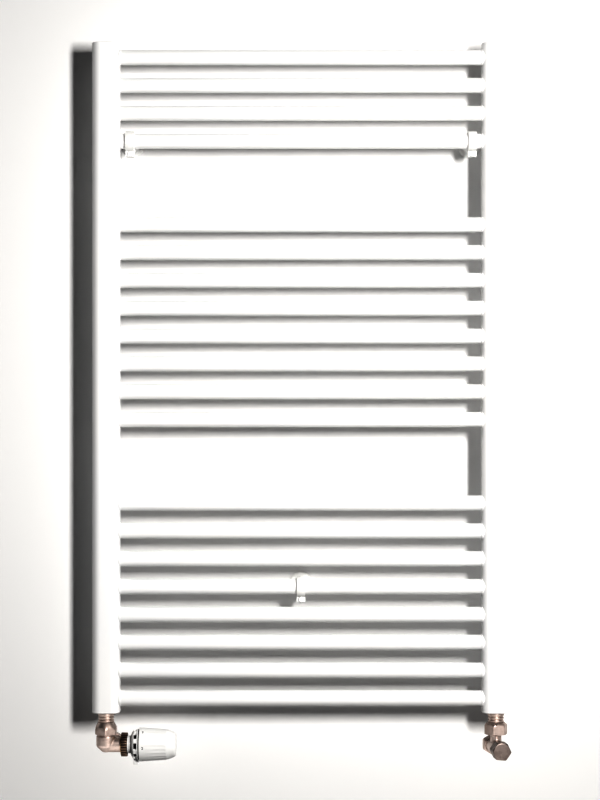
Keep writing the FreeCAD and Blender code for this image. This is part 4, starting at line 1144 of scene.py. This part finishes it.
def link_group(name, things, state):
    """A group of objects that a lamp is to include or to leave out."""
    group = bpy.data.collections.new(name)
    for thing in things:
        group.objects.link(thing)
    for member in group.collection_objects:
        member.light_linking.link_state = state
    return group


KEY_POWER = 35.0
KEY_PLACE = (0.72, -2.00, 0.02)
KEY_WIDTH = 0.20
KEY_HEIGHT = 0.50
KEY_COLOR = (1.0, 0.985, 0.965)
VALVE_MARGIN = 20 * MM


def is_valve(thing):
    """Whether an object hangs below the feet of the collectors."""
    tops = [(thing.matrix_world @ Vector(corner)).z for corner in thing.bound_box]
    return thing.type == "MESH" and FLOOR < max(tops) < RADIATOR_LOW + VALVE_MARGIN


bpy.context.view_layer.update()
valves = [thing for thing in bpy.context.scene.objects if is_valve(thing)]
key = lamp("key", KEY_POWER, KEY_PLACE, KEY_WIDTH, KEY_HEIGHT, KEY_COLOR)
key.light_linking.receiver_collection = link_group("key_skips", [wall], "EXCLUDE")
wall_key = lamp("wall_key", KEY_POWER, KEY_PLACE, KEY_WIDTH, KEY_HEIGHT, KEY_COLOR)
wall_key.light_linking.receiver_collection = link_group("wall_key_lights", [wall], "INCLUDE")
wall_key.light_linking.blocker_collection = link_group("wall_key_passes", valves, "EXCLUDE")
lamp("left_box", 0.4, (-1.6, -1.6, -0.5), 0.5, 1.6, (0.95, 0.97, 1.0))
clip_backs = [thing for thing in bpy.context.scene.objects if thing.name.startswith("clip_stem")]
back = lamp("back_box", 20.0, (0.9, 2.4, 0.9), 1.5, 1.5, (1.0, 1.0, 1.0))
back.light_linking.receiver_collection = link_group("back_box_lights", clip_backs, "INCLUDE")
back.light_linking.blocker_collection = link_group("back_box_passes", [wall], "EXCLUDE")
overhead = lamp("overhead", 420.0, (0.0, -0.5, 5.0), 4.0, 4.0, (1.0, 0.99, 0.98))
overhead.light_linking.receiver_collection = link_group("overhead_lights", [floor], "INCLUDE")
floor.visible_diffuse = False

ROOM_LIGHT = 0.03
ROOM_SEEN = 0.95
VIEW_GAMMA = 0.58
world = bpy.data.worlds.new("room")
bpy.context.scene.world = world
world.use_nodes = True
room = world.node_tree
background = room.nodes["Background"]
background.inputs["Color"].default_value = (0.93, 0.95, 1.0, 1)
path = room.nodes.new("ShaderNodeLightPath")
strength = room.nodes.new("ShaderNodeMapRange")
strength.inputs["To Min"].default_value = ROOM_LIGHT
strength.inputs["To Max"].default_value = ROOM_SEEN
room.links.new(path.outputs["Is Camera Ray"], strength.inputs["Value"])
room.links.new(strength.outputs["Result"], background.inputs["Strength"])
bpy.context.scene.view_settings.view_transform = "Standard"
bpy.context.scene.view_settings.gamma = VIEW_GAMMA
print("stage ready")

# %% [markdown] ## The last step: the view layer is brought up to date.
# The finished model must fill the same box as the frame.

# %% Finish
bpy.context.view_layer.update()
